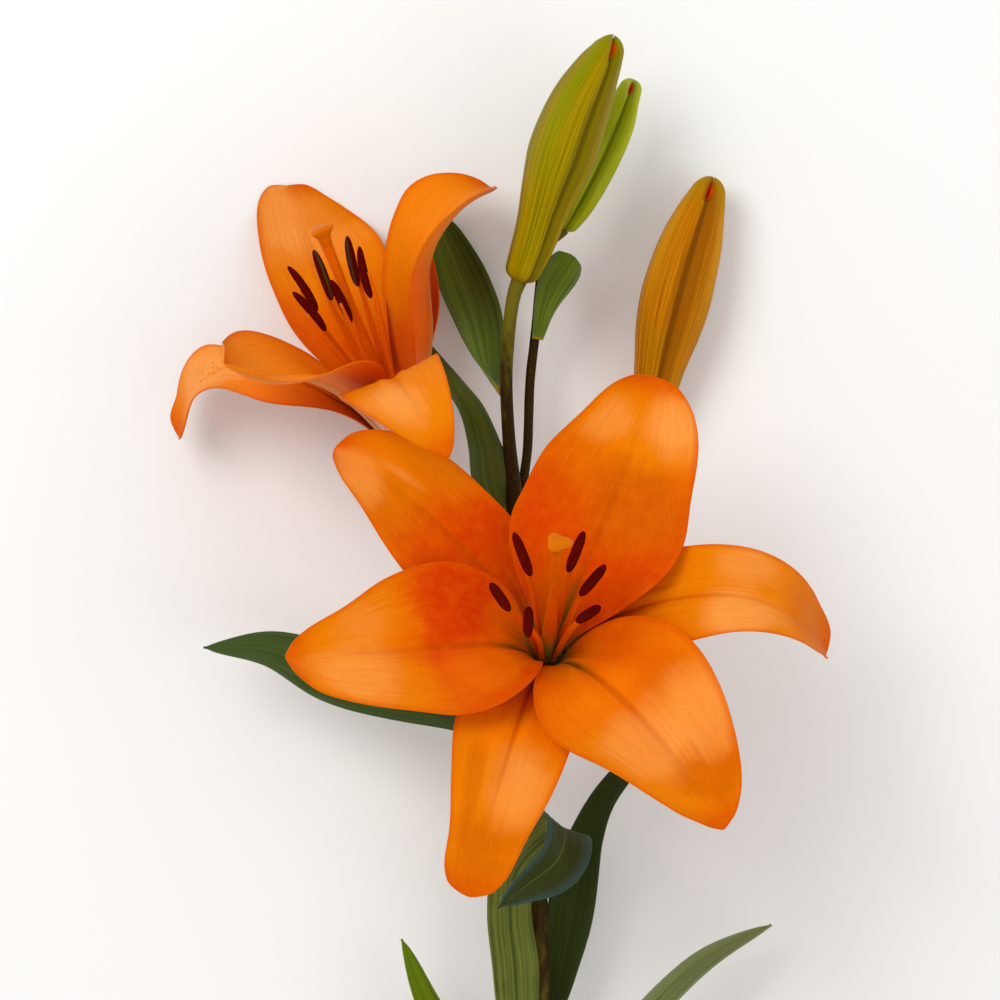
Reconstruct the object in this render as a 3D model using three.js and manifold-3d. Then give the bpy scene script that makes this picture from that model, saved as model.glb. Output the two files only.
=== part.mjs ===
// An Asiatic lily as a cut stem laid on a table: one bloom open to the sky, one bloom seen from its side,
// three buds, a bract and the leaves, all carried by one stem with its flower stalks.
// Millimetres and degrees. +X runs across the stem, +Y along it towards the buds, +Z up from the table top.
// The origin is the middle of the footprint, on the table top.
import * as THREE from "three";
import { mergeVertices } from "three/addons/utils/BufferGeometryUtils.js";
import Module from "manifold-3d";

const wasm = await Module();
wasm.setup();

// Driving dimensions shared by all pieces of a kind

const TEPAL_THICKNESS = 0.9;
const LEAF_THICKNESS = 0.8;
const LEAF_FOLD = 0.22; // how far a leaf's edges rise above its midrib, as a share of its half width
const SEAT_GAP = 0.3; // clearance between a piece and what carries it
const CENTRE_OF_FOOTPRINT = [-2.4, -0.1]; // where the middle of the footprint lies in the sizes below

const WHORLS = {
  inner: { startRadius: 3.9, claw: 0.14, groove: 1.2 },
  outer: { startRadius: 5.8, claw: 0.24, groove: 0.8 },
};

const RECEPTACLE_RADIUS = 6.3;
const OVARY = { length: 17, radius: 2.1 };
const STYLE = { length: 69.5, radius: 1.2, radiusAtTop: 1.7 };
const STIGMA = { length: 3.2, radius: 3.7 };
const FILAMENT = { radius: 0.9, tipRadius: 0.5, startRadius: 1.9 };

const BLUNT = 0.985; // 1 would bring each tepal to a sharp point
const TEPAL_ROWS = 11;
const TEPAL_COLUMNS = [-1, -0.6, -0.17, 0, 0.17, 0.6, 1];
const LEAF_COLUMNS = [-1, -0.5, 0, 0.5, 1];
const BUD_STEPS = [0, 0.015, 0.05, 0.12, 0.24, 0.38, 0.52, 0.66, 0.79, 0.89, 0.96, 1];
const BUD_SIDES = 15;

// The blooms. An azimuth is counted round the bloom's axis, and flare is the midrib's angle from that axis at
// even steps from claw to tip. Cup is the half angle of the arc across the blade at the same steps. Sway turns
// the midrib sideways and twist turns the blade about it, both growing towards the tip.

const FRONT_BLOOM = {
  name: "front_bloom",
  base: [13.3, 52.9, 57.2],
  lean: 24.8, // from straight up
  heading: 85.5, // of that lean, in plan
  styleBend: 2.5,
  tepals: [
    { piece: "inner_tepal_right", whorl: "inner", azimuth: 59, length: 87, width: 46, peak: 0.46, point: 0.65,
      flare: [11, 39, 67, 69, 84], cup: [56, 57, 30, 24, 25], sway: 10, twist: 1 },
    { piece: "inner_tepal_left", whorl: "inner", azimuth: 210, length: 88, width: 47, peak: 0.46, point: 0.81,
      flare: [12, 41, 72, 76, 86], cup: [56, 57, 31, 25, 23], sway: -12, twist: 0 },
    { piece: "inner_tepal_low", whorl: "inner", azimuth: 313, length: 93, width: 45.5, peak: 0.46, point: 0.75,
      flare: [14, 45, 69, 78, 99], cup: [56, 57, 29, 30, 27], sway: -4, twist: 5 },
    { piece: "outer_tepal_right", whorl: "outer", azimuth: 22, length: 97, width: 27, peak: 0.51, point: 0.46,
      flare: [16, 47, 65, 114, 162], cup: [45, 26, 11, 14, 21], sway: -18, twist: -5 },
    { piece: "outer_tepal_left", whorl: "outer", azimuth: 142, length: 85, width: 33, peak: 0.50, point: 0.65,
      flare: [16, 49, 69, 76, 96], cup: [45, 26, 10, 14, 23], sway: 3, twist: -2 },
    { piece: "outer_tepal_low", whorl: "outer", azimuth: 257, length: 94, width: 31, peak: 0.48, point: 0.57,
      flare: [17, 52, 75, 88, 100], cup: [45, 26, 10, 14, 21], sway: 2, twist: -1 },
  ],
  anther: { length: 12.8, width: 3.7, depth: 3 },
  stamens: [
    { azimuth: 143, reach: 11.6, height: 53, tilt: 72, turn: -25 },
    { azimuth: 201, reach: 15.5, height: 52, tilt: 163, turn: -63 },
    { azimuth: 241, reach: 12.9, height: 50, tilt: -121, turn: -27 },
    { azimuth: 322, reach: 12.5, height: 50, tilt: -178, turn: 54 },
    { azimuth: 8, reach: 10.4, height: 52, tilt: 109, turn: 50 },
    { azimuth: 59, reach: 10, height: 54, tilt: 88, turn: 15 },
  ],
};

const SIDE_BLOOM = {
  name: "side_bloom",
  base: [-25.3, 110.9, 22.8],
  lean: 66.6,
  heading: 111.8,
  styleBend: 0,
  tepals: [
    { piece: "inner_tepal_back", whorl: "inner", azimuth: 105.5, length: 91, width: 36, peak: 0.51, point: 0.60,
      flare: [12, 33, 47, 53, 69], cup: [56, 57, 33, 21, 25], sway: -3, twist: -17 },
    { piece: "inner_tepal_left", whorl: "inner", azimuth: 217, length: 83, width: 43, peak: 0.55, point: 0.68,
      flare: [14, 28, 45, 62, 33], cup: [56, 56, 52, 39, 38], sway: 8, twist: 22 },
    { piece: "inner_tepal_right", whorl: "inner", azimuth: -1, length: 86, width: 41, peak: 0.55, point: 0.65,
      flare: [13, 31, 23, 63, 121], cup: [56, 56, 49, 35, 39], sway: 17, twist: -1 },
    { piece: "outer_tepal_right", whorl: "outer", azimuth: 42, length: 84, width: 31, peak: 0.5, point: 0.6,
      flare: [13, 38, 52, 62, 74], cup: [45, 26, 11, 12, 22], sway: 20, twist: 0 },
    { piece: "outer_tepal_left", whorl: "outer", azimuth: 158, length: 89, width: 31, peak: 0.49, point: 0.51,
      flare: [13, 46, 65, 112, 169], cup: [45, 25, 11, 13, 21], sway: -3, twist: 6 },
    { piece: "outer_tepal_front", whorl: "outer", azimuth: 272, length: 86, width: 29, peak: 0.48, point: 0.78,
      flare: [13, 34, 66, 114, 159], cup: [45, 26, 10, 13, 22], sway: 5, twist: 0 },
  ],
  anther: { length: 15.2, width: 3.1, depth: 2.7 },
  stamens: [
    { azimuth: 165, reach: 11, height: 56.5, tilt: 20, turn: -23 },
    { azimuth: 210, reach: 12.9, height: 53, tilt: 15, turn: -8 },
    { azimuth: 110, reach: 12.5, height: 54.6, tilt: 17, turn: -8 },
    { azimuth: 250, reach: 6, height: 52, tilt: 9, turn: 0 },
    { azimuth: 60, reach: 9.6, height: 56.4, tilt: 8, turn: -6 },
    { azimuth: 330, reach: 8, height: 56.7, tilt: 3, turn: 13 },
  ],
};

// The buds: greatest width, how far the three ridges stand out as a share of the radius, and the middle line

const BUDS = [
  { name: "bud_large", width: 17.6, ridge: 0.05, turn: 20,
    points: [[5.8, 159.1, 33.2], [9.3, 168.3, 34], [16.3, 186.8, 36], [24.5, 206.5, 37.5], [32.9, 226.9, 38]] },
  { name: "bud_small", width: 13, ridge: 0.07, turn: 0,
    points: [[19.3, 173.9, 18.6], [28.2, 193.5, 19], [38.1, 216.3, 19]] },
  { name: "bud_orange", width: 20, ridge: 0.05, turn: 10,
    points: [[43.2, 118.2, 9.8], [47.2, 133.9, 9.9], [54.1, 158.3, 10], [58.1, 175.4, 10], [61.5, 188.6, 10.5]] },
];

// The stem and its flower stalks: points on the middle line, and the radius at each

const STEM_LINES = {
  main: {
    points: [[13.8, -227.5, 4], [12.9, -168, 6], [11.9, -112, 11], [10.6, -42.7, 18], [9.5, 0, 22],
      [8, 41.3, 26], [6.2, 75, 28.8], [4.8, 91.1, 31], [4, 101, 31.4], [2.8, 113.1, 31.8], [2, 130.9, 32],
      [2.5, 141.5, 32.2], [3.3, 149.5, 32.5], [4.4, 155.4, 32.9], [5.68, 158.78, 33.2]],
    radii: [4.1, 4, 3.9, 3.8, 3.7, 3.6, 3.3, 2.7, 2.2, 1.85, 1.8, 1.8, 1.85, 2, 2.3],
  },
  smallBud: {
    points: [[5.6, 82, 29], [6.2, 95.3, 28], [7.1, 103.8, 26.7], [8, 110.9, 25.3], [8.8, 130.8, 23],
      [10.5, 144.2, 21], [14, 158, 19.5], [17.65, 170.3, 18.5], [19.18, 173.63, 18.6]],
    radii: [1.5, 1.4, 1.35, 1.35, 1.35, 1.35, 1.35, 1.5, 1.7],
  },
  orangeBud: {
    points: [[7, 66, 27.8], [15, 80, 23], [28, 97, 14.5], [37.5, 107.5, 10.6], [42.2, 114.3, 9.78], [43.13, 117.9, 9.8]],
    radii: [2.3, 2, 2, 2.1, 2.3, 2.6],
  },
  frontBloom: {
    points: [[8.6, 27, 24.5], [10.4, 33, 32], [11.8, 41, 43], [13, 49.1, 49], [13.2, 51.6, 54.5], [13.3, 52.9, 57.2]],
    radii: [2.8, 2.5, 2.5, 2.9, 4.8, RECEPTACLE_RADIUS],
  },
  sideBloom: {
    points: [[5.4, 74, 28.8], [-4, 84, 25], [-14, 94.5, 20.5], [-21.2, 102, 18.4], [-24.2, 108.2, 21.5],
      [-25.3, 110.9, 22.8]],
    radii: [2.4, 2.1, 2.1, 2.4, 4.6, RECEPTACLE_RADIUS],
  },
};

// The leaves: greatest width and where it comes, how wide the base is as a share of it, the rows of faces, the
// roll of the blade about its midrib at even steps (0 is face up), and the midrib's points from the stem outwards

const LEAVES = [
  { name: "leaf_upper_right", width: 15, peak: 0.48, baseShare: 0.35, rows: 10, roll: [-98, -40, -4, 4, 4],
    points: [[-0.6, 128.1, 32.1], [-3.1, 138.7, 23.0], [-7.7, 153.1, 10.0], [-11.8, 164.2, 3.5],
      [-15.2, 171.5, 2.0], [-17.5, 175.5, 2.0]] },
  { name: "leaf_upper_left", width: 9, peak: 0.42, baseShare: 0.5, rows: 12, roll: [-120, -50, -25, -15, -10],
    points: [[1.5, 93.4, 32.2], [-0.6, 102.1, 35.5], [-3.7, 112.8, 34.0], [-7.6, 121.9, 31.0],
      [-11.9, 128.5, 27.0], [-16.5, 134.8, 22.0], [-20.5, 140.6, 18.0]] },
  { name: "leaf_left", width: 14, peak: 0.45, baseShare: 0.45, rows: 12, roll: [-75, -50, -30, -25, -30],
    points: [[4.1, 27.3, 23.5], [0.3, 33.7, 22.0], [-12.5, 38.4, 26.0], [-29.4, 42.4, 29.0],
      [-47.8, 47.6, 30.0], [-65.4, 53.2, 28.0], [-84.0, 55.0, 23.0]] },
  { name: "leaf_right", width: 14.6, peak: 0.35, baseShare: 0.4, rows: 14, roll: [65, 20, 12, 35, 50, 45, 40],
    points: [[15.1, -54.5, 14.8], [15.4, -47.6, 12.0], [17.4, -36.1, 12.0], [19.7, -23.2, 13.5],
      [22.2, -8.7, 17.0], [25.3, 3.0, 21.0], [29.8, 12.5, 24.0], [38.5, 26.0, 27.0], [56.0, 56.8, 28.0]] },
  { name: "leaf_folded", width: 15, peak: 0.5, baseShare: 0.65, rows: 22, roll: [185, 180, 180, 180, 180, 180],
    points: [[10.6, -62.9, 20.7], [7.1, -49.1, 27.0], [4.8, -34.7, 30.0], [3.7, -20.3, 33.0],
      [5.6, -8.8, 37.0], [11.5, -1.4, 42.0], [17.6, 2.7, 45.5], [20.7, 4.6, 50.0], [18.6, 2.7, 55.0], [13.6, -2.7, 57.5], [6.4, -11.0, 58.0], [-0.3, -16.5, 55.0]] },
  { name: "leaf_low_left", width: 10, peak: 0.4, baseShare: 0.45, rows: 9, roll: [-105, -60, -40, -35, -30],
    points: [[6.8, -82.5, 15.2], [7.4, -75.7, 16.0], [-2.8, -67.1, 20.0], [-12.8, -56.5, 23.0],
      [-20.4, -45.1, 24.0], [-27.9, -28.0, 21.0]] },
  { name: "leaf_low_right", width: 13, peak: 0.42, baseShare: 0.45, rows: 9, roll: [105, 62, 55, 55, 60],
    points: [[16.0, -85.3, 14.9], [23.1, -76.6, 16.0], [31.6, -63.9, 20.0], [40.0, -51.4, 23.0],
      [47.9, -41.7, 24.0], [59.3, -33.0, 23.0], [77.4, -24.2, 19.0]] },
  { name: "leaf_lower_left", width: 13, peak: 0.45, baseShare: 0.45, rows: 9, roll: [-70, -50, -20, -10, 0],
    points: [[7.3, -106.3, 9.9], [1.7, -100.9, 8.0], [-14.0, -90.8, 9.0], [-30.6, -76.5, 9.0],
      [-44.2, -58.2, 5.0]] },
  { name: "leaf_lower_right", width: 13, peak: 0.45, baseShare: 0.45, rows: 9, roll: [75, 50, 25, 15, 10],
    points: [[16.5, -111.9, 9.8], [24.6, -105.1, 9.0], [38.9, -92.0, 11.0], [53.2, -77.7, 11.0],
      [63.9, -59.5, 7.0]] },
  { name: "leaf_lower_front", width: 12.5, peak: 0.45, baseShare: 0.45, rows: 9, roll: [190, 178, 175, 175, 170],
    points: [[11.3, -127.3, 14.4], [11.7, -118.0, 20.0], [7.6, -102.8, 28.0], [2.5, -86.5, 34.0],
      [-2.0, -69.4, 36.0]] },
  { name: "leaf_lowest_left", width: 12, peak: 0.45, baseShare: 0.45, rows: 9, roll: [-85, -50, -20, -5, 0],
    points: [[7.6, -139.9, 8.1], [3.7, -135.3, 8.0], [-10.6, -124.3, 9.0], [-24.1, -110.2, 7.0],
      [-33.3, -94.3, 3.0]] },
  { name: "leaf_lowest_right", width: 12, peak: 0.45, baseShare: 0.45, rows: 9, roll: [90, 50, 20, 5, 0],
    points: [[17.5, -151.1, 7.5], [26.7, -146.9, 7.0], [40.4, -133.9, 8.0], [53.6, -117.8, 6.0],
      [62.3, -100.1, 3.0]] },
];

const BRACT = { name: "bract", width: 11, peak: 0.55, baseShare: 0.4, rows: 9, roll: [0, 0, 10, 20],
  points: [[11.2, 143.5, 23.3], [13.3, 150.5, 23.9], [15.8, 157.4, 24.6], [19.5, 165.2, 25.5]] };

// Small tools for angles, keys and solids

const radians = THREE.MathUtils.degToRad;
const vector = (p) => new THREE.Vector3(...p);

// A smooth value at t from 0 to 1 through keys that are evenly spaced
function keyed(keys, t) {
  const place = Math.min(Math.max(t, 0), 1) * (keys.length - 1);
  const i = Math.min(Math.floor(place), keys.length - 2);
  const f = place - i;
  const a = keys[Math.max(i - 1, 0)];
  const d = keys[Math.min(i + 2, keys.length - 1)];
  const [b, c] = [keys[i], keys[i + 1]];
  return b + 0.5 * f * (c - a + f * (2 * a - 5 * b + 4 * c - d + f * (3 * (b - c) + d - a)));
}

// Even steps from 0 to 1 that crowd a little towards 1, where blades narrow to their tips
function crowdedSteps(count, power) {
  return Array.from({ length: count + 1 }, (_, i) => 1 - (1 - i / count) ** power);
}

function geometryFrom(points, faces) {
  const geometry = new THREE.BufferGeometry();
  geometry.setAttribute("position", new THREE.Float32BufferAttribute(points.flatMap((p) => [p.x, p.y, p.z]), 3));
  geometry.setIndex(faces.flat());
  return geometry;
}

// Joins closed geometries that reach into each other as one closed geometry
function fused(geometries) {
  const solids = geometries.map((geometry) => {
    const merged = mergeVertices(geometry, 1e-4);
    return new wasm.Manifold(new wasm.Mesh({
      numProp: 3,
      vertProperties: merged.attributes.position.array,
      triVerts: new Uint32Array(merged.index.array),
    }));
  });
  const mesh = solids.reduce((whole, next) => whole.add(next)).getMesh();
  const geometry = new THREE.BufferGeometry();
  geometry.setAttribute("position", new THREE.BufferAttribute(mesh.vertProperties, 3));
  geometry.setIndex(new THREE.BufferAttribute(mesh.triVerts, 1));
  return geometry;
}

// A closed blade: two like-split faces half a thickness either side of a middle surface, and a rim between them.
// Middle points that would lie under the table top are pressed flat on it.
function bladeSolid(rows, columns, thickness, place) {
  const rowCount = rows.length;
  const columnCount = columns.length;
  const middle = rows.map((t) => columns.map((u) => {
    const p = place(t, u);
    p.z = Math.max(p.z, thickness / 2);
    return p;
  }));
  const normalAt = (i, j) => {
    const along = middle[Math.min(i + 1, rowCount - 1)][j].clone().sub(middle[Math.max(i - 1, 0)][j]);
    const across = middle[i][Math.min(j + 1, columnCount - 1)].clone().sub(middle[i][Math.max(j - 1, 0)]);
    return across.cross(along).normalize();
  };
  const points = [];
  for (const side of [1, -1]) {
    for (let i = 0; i < rowCount; i++) {
      for (let j = 0; j < columnCount; j++) {
        const p = middle[i][j].clone().addScaledVector(normalAt(i, j), (side * thickness) / 2);
        p.z = Math.max(p.z, 0);
        points.push(p);
      }
    }
  }
  const under = rowCount * columnCount;
  const at = (i, j) => i * columnCount + j;
  const faces = [];
  for (let i = 0; i < rowCount - 1; i++) {
    for (let j = 0; j < columnCount - 1; j++) {
      const [a, b, c, d] = [at(i, j), at(i, j + 1), at(i + 1, j + 1), at(i + 1, j)];
      faces.push([a, b, c], [a, c, d], [a + under, c + under, b + under], [a + under, d + under, c + under]);
    }
  }
  const rim = [];
  for (let j = 0; j < columnCount; j++) rim.push(at(0, j));
  for (let i = 1; i < rowCount; i++) rim.push(at(i, columnCount - 1));
  for (let j = columnCount - 2; j >= 0; j--) rim.push(at(rowCount - 1, j));
  for (let i = rowCount - 2; i > 0; i--) rim.push(at(i, 0));
  rim.forEach((a, k) => {
    const b = rim[(k + 1) % rim.length];
    faces.push([a, a + under, b + under], [a, b + under, b]);
  });
  return geometryFrom(points, faces);
}

// A closed solid through rings of points that turn the same way, with a middle point closing each end
function ringsSolid(rings, startMiddle, endMiddle) {
  const sides = rings[0].length;
  const vertices = rings.flat();
  for (const p of vertices) p.z = Math.max(p.z, 0);
  const faces = [];
  for (let i = 0; i < rings.length - 1; i++) {
    for (let k = 0; k < sides; k++) {
      const next = (k + 1) % sides;
      const [a, b, c, d] = [i * sides + k, i * sides + next, (i + 1) * sides + next, (i + 1) * sides + k];
      faces.push([a, b, c], [a, c, d]);
    }
  }
  const [first, last] = [vertices.length, vertices.length + 1];
  vertices.push(startMiddle.clone(), endMiddle.clone());
  const top = (rings.length - 1) * sides;
  for (let k = 0; k < sides; k++) {
    const next = (k + 1) % sides;
    faces.push([first, next, k], [last, top + k, top + next]);
  }
  return geometryFrom(vertices, faces);
}

// One ring round a middle point, with a radius for each angle
function ring(middle, one, other, sides, radiusAt) {
  return Array.from({ length: sides }, (_, k) => {
    const angle = (2 * Math.PI * k) / sides;
    const radius = radiusAt(angle);
    return middle.clone().addScaledVector(one, radius * Math.cos(angle)).addScaledVector(other, radius * Math.sin(angle));
  });
}

// A closed tube with a radius at each point of its middle line. section(angle) scales the radius.
function tubeSolid(points, radii, sides, steps, section = () => 1) {
  const curve = new THREE.CatmullRomCurve3(points.map(vector), false, "centripetal");
  const frames = curve.computeFrenetFrames(steps, false);
  const rings = frames.normals.map((normal, i) => {
    const radius = keyed(radii, curve.getUtoTmapping(i / steps));
    return ring(curve.getPointAt(i / steps), normal, frames.binormals[i], sides, (angle) => radius * section(angle));
  });
  return ringsSolid(rings, curve.getPointAt(0), curve.getPointAt(1));
}

// The bloom's own frame: its axis, and two directions square to it

function bloomFrame(bloom) {
  const lean = radians(bloom.lean);
  const heading = radians(bloom.heading);
  const axis = new THREE.Vector3(Math.sin(lean) * Math.cos(heading), Math.sin(lean) * Math.sin(heading), Math.cos(lean));
  const right = new THREE.Vector3(Math.sin(heading), -Math.cos(heading), 0);
  const back = axis.clone().cross(right);
  return { base: vector(bloom.base), axis, right, back };
}

function radialOf(frame, azimuth) {
  const angle = radians(azimuth);
  return frame.right.clone().multiplyScalar(Math.cos(angle)).addScaledVector(frame.back, Math.sin(angle));
}

// Tepals

function tepalHalfWidth(tepal, t) {
  const { claw } = WHORLS[tepal.whorl];
  const rise = claw + (1 - claw) * Math.sin((Math.PI / 2) * Math.min(1, t / tepal.peak)) ** 2;
  const past = Math.max(0, (t - tepal.peak) / (1 - tepal.peak));
  const fall = (1 - (BLUNT * past) ** 2.3) ** tepal.point;
  return Math.max((tepal.width / 2) * rise * fall, 0.7);
}

// The midrib as a list of stations, found by walking along it in short steps
function tepalRib(frame, tepal) {
  const steps = 80;
  const { startRadius } = WHORLS[tepal.whorl];
  const radial = radialOf(frame, tepal.azimuth);
  const sideways = radialOf(frame, tepal.azimuth + 90);
  const place = frame.base.clone().addScaledVector(radial, startRadius).addScaledVector(frame.axis, SEAT_GAP);
  const stations = [];
  for (let i = 0; i <= steps; i++) {
    const t = i / steps;
    const flare = radians(keyed(tepal.flare, t));
    const sway = radians(tepal.sway * t * 2);
    const outward = frame.axis.clone().multiplyScalar(Math.cos(flare)).addScaledVector(radial, Math.sin(flare));
    const inner = frame.axis.clone().multiplyScalar(Math.sin(flare)).addScaledVector(radial, -Math.cos(flare));
    const along = outward.clone().multiplyScalar(Math.cos(sway)).addScaledVector(sideways, Math.sin(sway));
    const across = sideways.clone().multiplyScalar(Math.cos(sway)).addScaledVector(outward, -Math.sin(sway));
    const twist = radians(tepal.twist * t * t);
    const face = inner.clone().multiplyScalar(Math.cos(twist)).addScaledVector(across, Math.sin(twist));
    across.multiplyScalar(Math.cos(twist)).addScaledVector(inner, -Math.sin(twist));
    stations.push({ place: place.clone(), across, face });
    place.addScaledVector(along, tepal.length / steps);
  }
  return stations;
}

function stationAt(stations, t) {
  const place = t * (stations.length - 1);
  const i = Math.min(Math.floor(place), stations.length - 2);
  const f = place - i;
  const [a, b] = [stations[i], stations[i + 1]];
  return {
    place: a.place.clone().lerp(b.place, f),
    across: a.across.clone().lerp(b.across, f).normalize(),
    face: a.face.clone().lerp(b.face, f).normalize(),
  };
}

function tepalGeometry(frame, tepal) {
  const stations = tepalRib(frame, tepal);
  const { groove } = WHORLS[tepal.whorl];
  const place = (t, u) => {
    const station = stationAt(stations, t);
    const half = tepalHalfWidth(tepal, t);
    const arc = radians(keyed(tepal.cup, t));
    const sink = groove * Math.exp(-((u / 0.12) ** 2)) * Math.sin(Math.PI * Math.min(1, t + 0.08));
    return station.place
      .addScaledVector(station.across, (half * Math.sin(arc * u)) / arc)
      .addScaledVector(station.face, (half * (1 - Math.cos(arc * u))) / arc - sink);
  };
  return bladeSolid(crowdedSteps(TEPAL_ROWS, 1.3), TEPAL_COLUMNS, TEPAL_THICKNESS, place);
}

// The middle of a bloom: ovary, style and three-lobed stigma with the six filaments, grown on one small disc

function pistilLine(frame, bloom) {
  const bend = radialOf(frame, 90);
  const along = (height, lift) => frame.base.clone().addScaledVector(frame.axis, height).addScaledVector(bend, lift);
  return [along(SEAT_GAP, 0), along(OVARY.length, 0), along(STYLE.length * 0.65, bloom.styleBend * 0.4),
    along(STYLE.length, bloom.styleBend), along(STYLE.length + STIGMA.length, bloom.styleBend * 1.1)]
    .map((p) => p.toArray());
}

// Where an anther is, which way it points, and where its filament meets its back
function antherPlace(frame, bloom, stamen) {
  const radial = radialOf(frame, stamen.azimuth);
  const sideways = radialOf(frame, stamen.azimuth + 90);
  const tilt = radians(stamen.tilt);
  const turn = radians(stamen.turn);
  const middle = frame.base.clone().addScaledVector(frame.axis, stamen.height).addScaledVector(radial, stamen.reach);
  const along = frame.axis.clone().multiplyScalar(Math.cos(tilt)).addScaledVector(radial, Math.sin(tilt))
    .multiplyScalar(Math.cos(turn)).addScaledVector(sideways, Math.sin(turn)).normalize();
  const rising = frame.axis.clone().addScaledVector(radial, 0.3).normalize();
  let front = rising.clone().addScaledVector(along, -rising.dot(along));
  let approach = rising; // the way the filament comes up to the anther's back
  if (front.length() < 0.5) {
    front = radial.clone().multiplyScalar(-1).addScaledVector(along, radial.dot(along));
    approach = along;
  }
  front.normalize();
  const back = middle.clone().addScaledVector(front, -(bloom.anther.depth / 2 + SEAT_GAP + FILAMENT.tipRadius * 0.6));
  const below = back.clone().addScaledVector(approach, -0.6 * bloom.anther.length).addScaledVector(front, -0.5);
  return { middle, along, front, back, below };
}

function filamentLine(frame, bloom, stamen) {
  const radial = radialOf(frame, stamen.azimuth);
  const at = (height, reach) => frame.base.clone().addScaledVector(frame.axis, height)
    .addScaledVector(radial, reach).toArray();
  const start = FILAMENT.startRadius;
  const { back, below } = antherPlace(frame, bloom, stamen);
  return [at(SEAT_GAP + 0.2, start), at(stamen.height * 0.4, start + 0.25 * stamen.reach), below.toArray(),
    back.toArray()];
}

function heartGeometry(frame, bloom) {
  const line = pistilLine(frame, bloom);
  const top = line.slice(-2).map(vector);
  const pieces = [
    tubeSolid(line.slice(0, 4), [OVARY.radius, OVARY.radius, STYLE.radius, STYLE.radiusAtTop], 8, 9),
    tubeSolid([top[0].clone().lerp(top[1], -0.4).toArray(), ...line.slice(3)],
      [STYLE.radiusAtTop * 0.9, STIGMA.radius * 0.75, STIGMA.radius], 12, 3,
      (angle) => 1 + 0.22 * Math.cos(3 * angle)),
    tubeSolid([line[0], frame.base.clone().addScaledVector(frame.axis, SEAT_GAP + 1).toArray()],
      [2.9, 2.6], 12, 1),
    ...bloom.stamens.map((stamen) => tubeSolid(filamentLine(frame, bloom, stamen),
      [FILAMENT.radius, FILAMENT.radius, FILAMENT.radius * 0.8, FILAMENT.tipRadius], 5, 6)),
  ];
  return fused(pieces);
}

// Anthers: long bodies with blunt ends
function antherGeometry(frame, bloom, stamen) {
  const { length, width, depth } = bloom.anther;
  const { middle, along, front } = antherPlace(frame, bloom, stamen);
  const across = along.clone().cross(front);
  const steps = [-0.47, -0.36, -0.15, 0.15, 0.36, 0.47];
  const rings = steps.map((t) => {
    const swell = Math.sqrt(1 - Math.abs(2 * t) ** 3);
    return ring(middle.clone().addScaledVector(along, t * length), front.clone().multiplyScalar(swell * depth / 2),
      across.clone().multiplyScalar(swell * width / 2), 6, () => 1);
  });
  return ringsSolid(rings, middle.clone().addScaledVector(along, -length / 2),
    middle.clone().addScaledVector(along, length / 2));
}

// Buds: a body that swells quickly from its stalk and closes in a blunt tip, with three low ridges

function budShare(t) {
  const rise = Math.sin((Math.PI / 2) * Math.min(1, 2 * t) ** 0.42);
  const past = Math.max(0, 2 * t - 1) * 0.97;
  return (0.27 + 0.73 * rise) * (1 - past ** 2.4) ** 0.62;
}

function budGeometry(bud) {
  const curve = new THREE.CatmullRomCurve3(bud.points.map(vector), false, "centripetal");
  const rings = BUD_STEPS.map((t) => {
    const along = curve.getTangentAt(t);
    const up = new THREE.Vector3(0, 0, 1);
    const one = up.addScaledVector(along, -up.dot(along)).normalize();
    const other = along.clone().cross(one);
    return ring(curve.getPointAt(t), one, other, BUD_SIDES, (angle) => (bud.width / 2) * budShare(t) *
      (1 - bud.ridge + bud.ridge * Math.cos(3 * (angle + radians(bud.turn))) * Math.min(1, 5 * t)));
  });
  return ringsSolid(rings, curve.getPointAt(0), curve.getPointAt(1));
}

// The stem with its flower stalks

function stemGeometry() {
  return fused([
    tubeSolid(STEM_LINES.main.points, STEM_LINES.main.radii, 8, 34),
    tubeSolid(STEM_LINES.smallBud.points, STEM_LINES.smallBud.radii, 8, 12),
    tubeSolid(STEM_LINES.orangeBud.points, STEM_LINES.orangeBud.radii, 8, 10),
    tubeSolid(STEM_LINES.frontBloom.points, STEM_LINES.frontBloom.radii, 8, 8),
    tubeSolid(STEM_LINES.sideBloom.points, STEM_LINES.sideBloom.radii, 8, 8),
  ]);
}

// Leaves

function leafHalfWidth(leaf, t) {
  const rise = leaf.baseShare + (1 - leaf.baseShare) * Math.sin((Math.PI / 2) * Math.min(1, t / leaf.peak));
  const past = Math.max(0, (t - leaf.peak) / (1 - leaf.peak));
  return Math.max((leaf.width / 2) * rise * Math.max(0, 1 - past ** 2) ** 0.8, 0.5);
}

// The directions along, across and out of a leaf's face at even steps. The face starts as near to straight up
// as the midrib allows and is carried along it without turning about it.
function leafFrames(leaf) {
  const curve = new THREE.CatmullRomCurve3(leaf.points.map(vector), false, "centripetal");
  const steps = 60;
  const face = new THREE.Vector3(0, 0, 1);
  return Array.from({ length: steps + 1 }, (_, i) => {
    const along = curve.getTangentAt(i / steps);
    face.addScaledVector(along, -face.dot(along)).normalize();
    return { place: curve.getPointAt(i / steps), across: along.clone().cross(face), face: face.clone() };
  });
}

function leafGeometry(leaf) {
  const frames = leafFrames(leaf);
  const place = (t, u) => {
    const station = stationAt(frames, t);
    const roll = radians(keyed(leaf.roll, t));
    const across = station.across.clone().multiplyScalar(Math.cos(roll)).addScaledVector(station.face, Math.sin(roll));
    const face = station.face.clone().multiplyScalar(Math.cos(roll)).addScaledVector(station.across, -Math.sin(roll));
    const half = leafHalfWidth(leaf, t);
    return station.place.clone().addScaledVector(across, half * u)
      .addScaledVector(face, LEAF_FOLD * half * Math.abs(u) ** 1.5);
  };
  return bladeSolid(crowdedSteps(leaf.rows, 1.2), LEAF_COLUMNS, LEAF_THICKNESS, place);
}

// Materials

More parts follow.
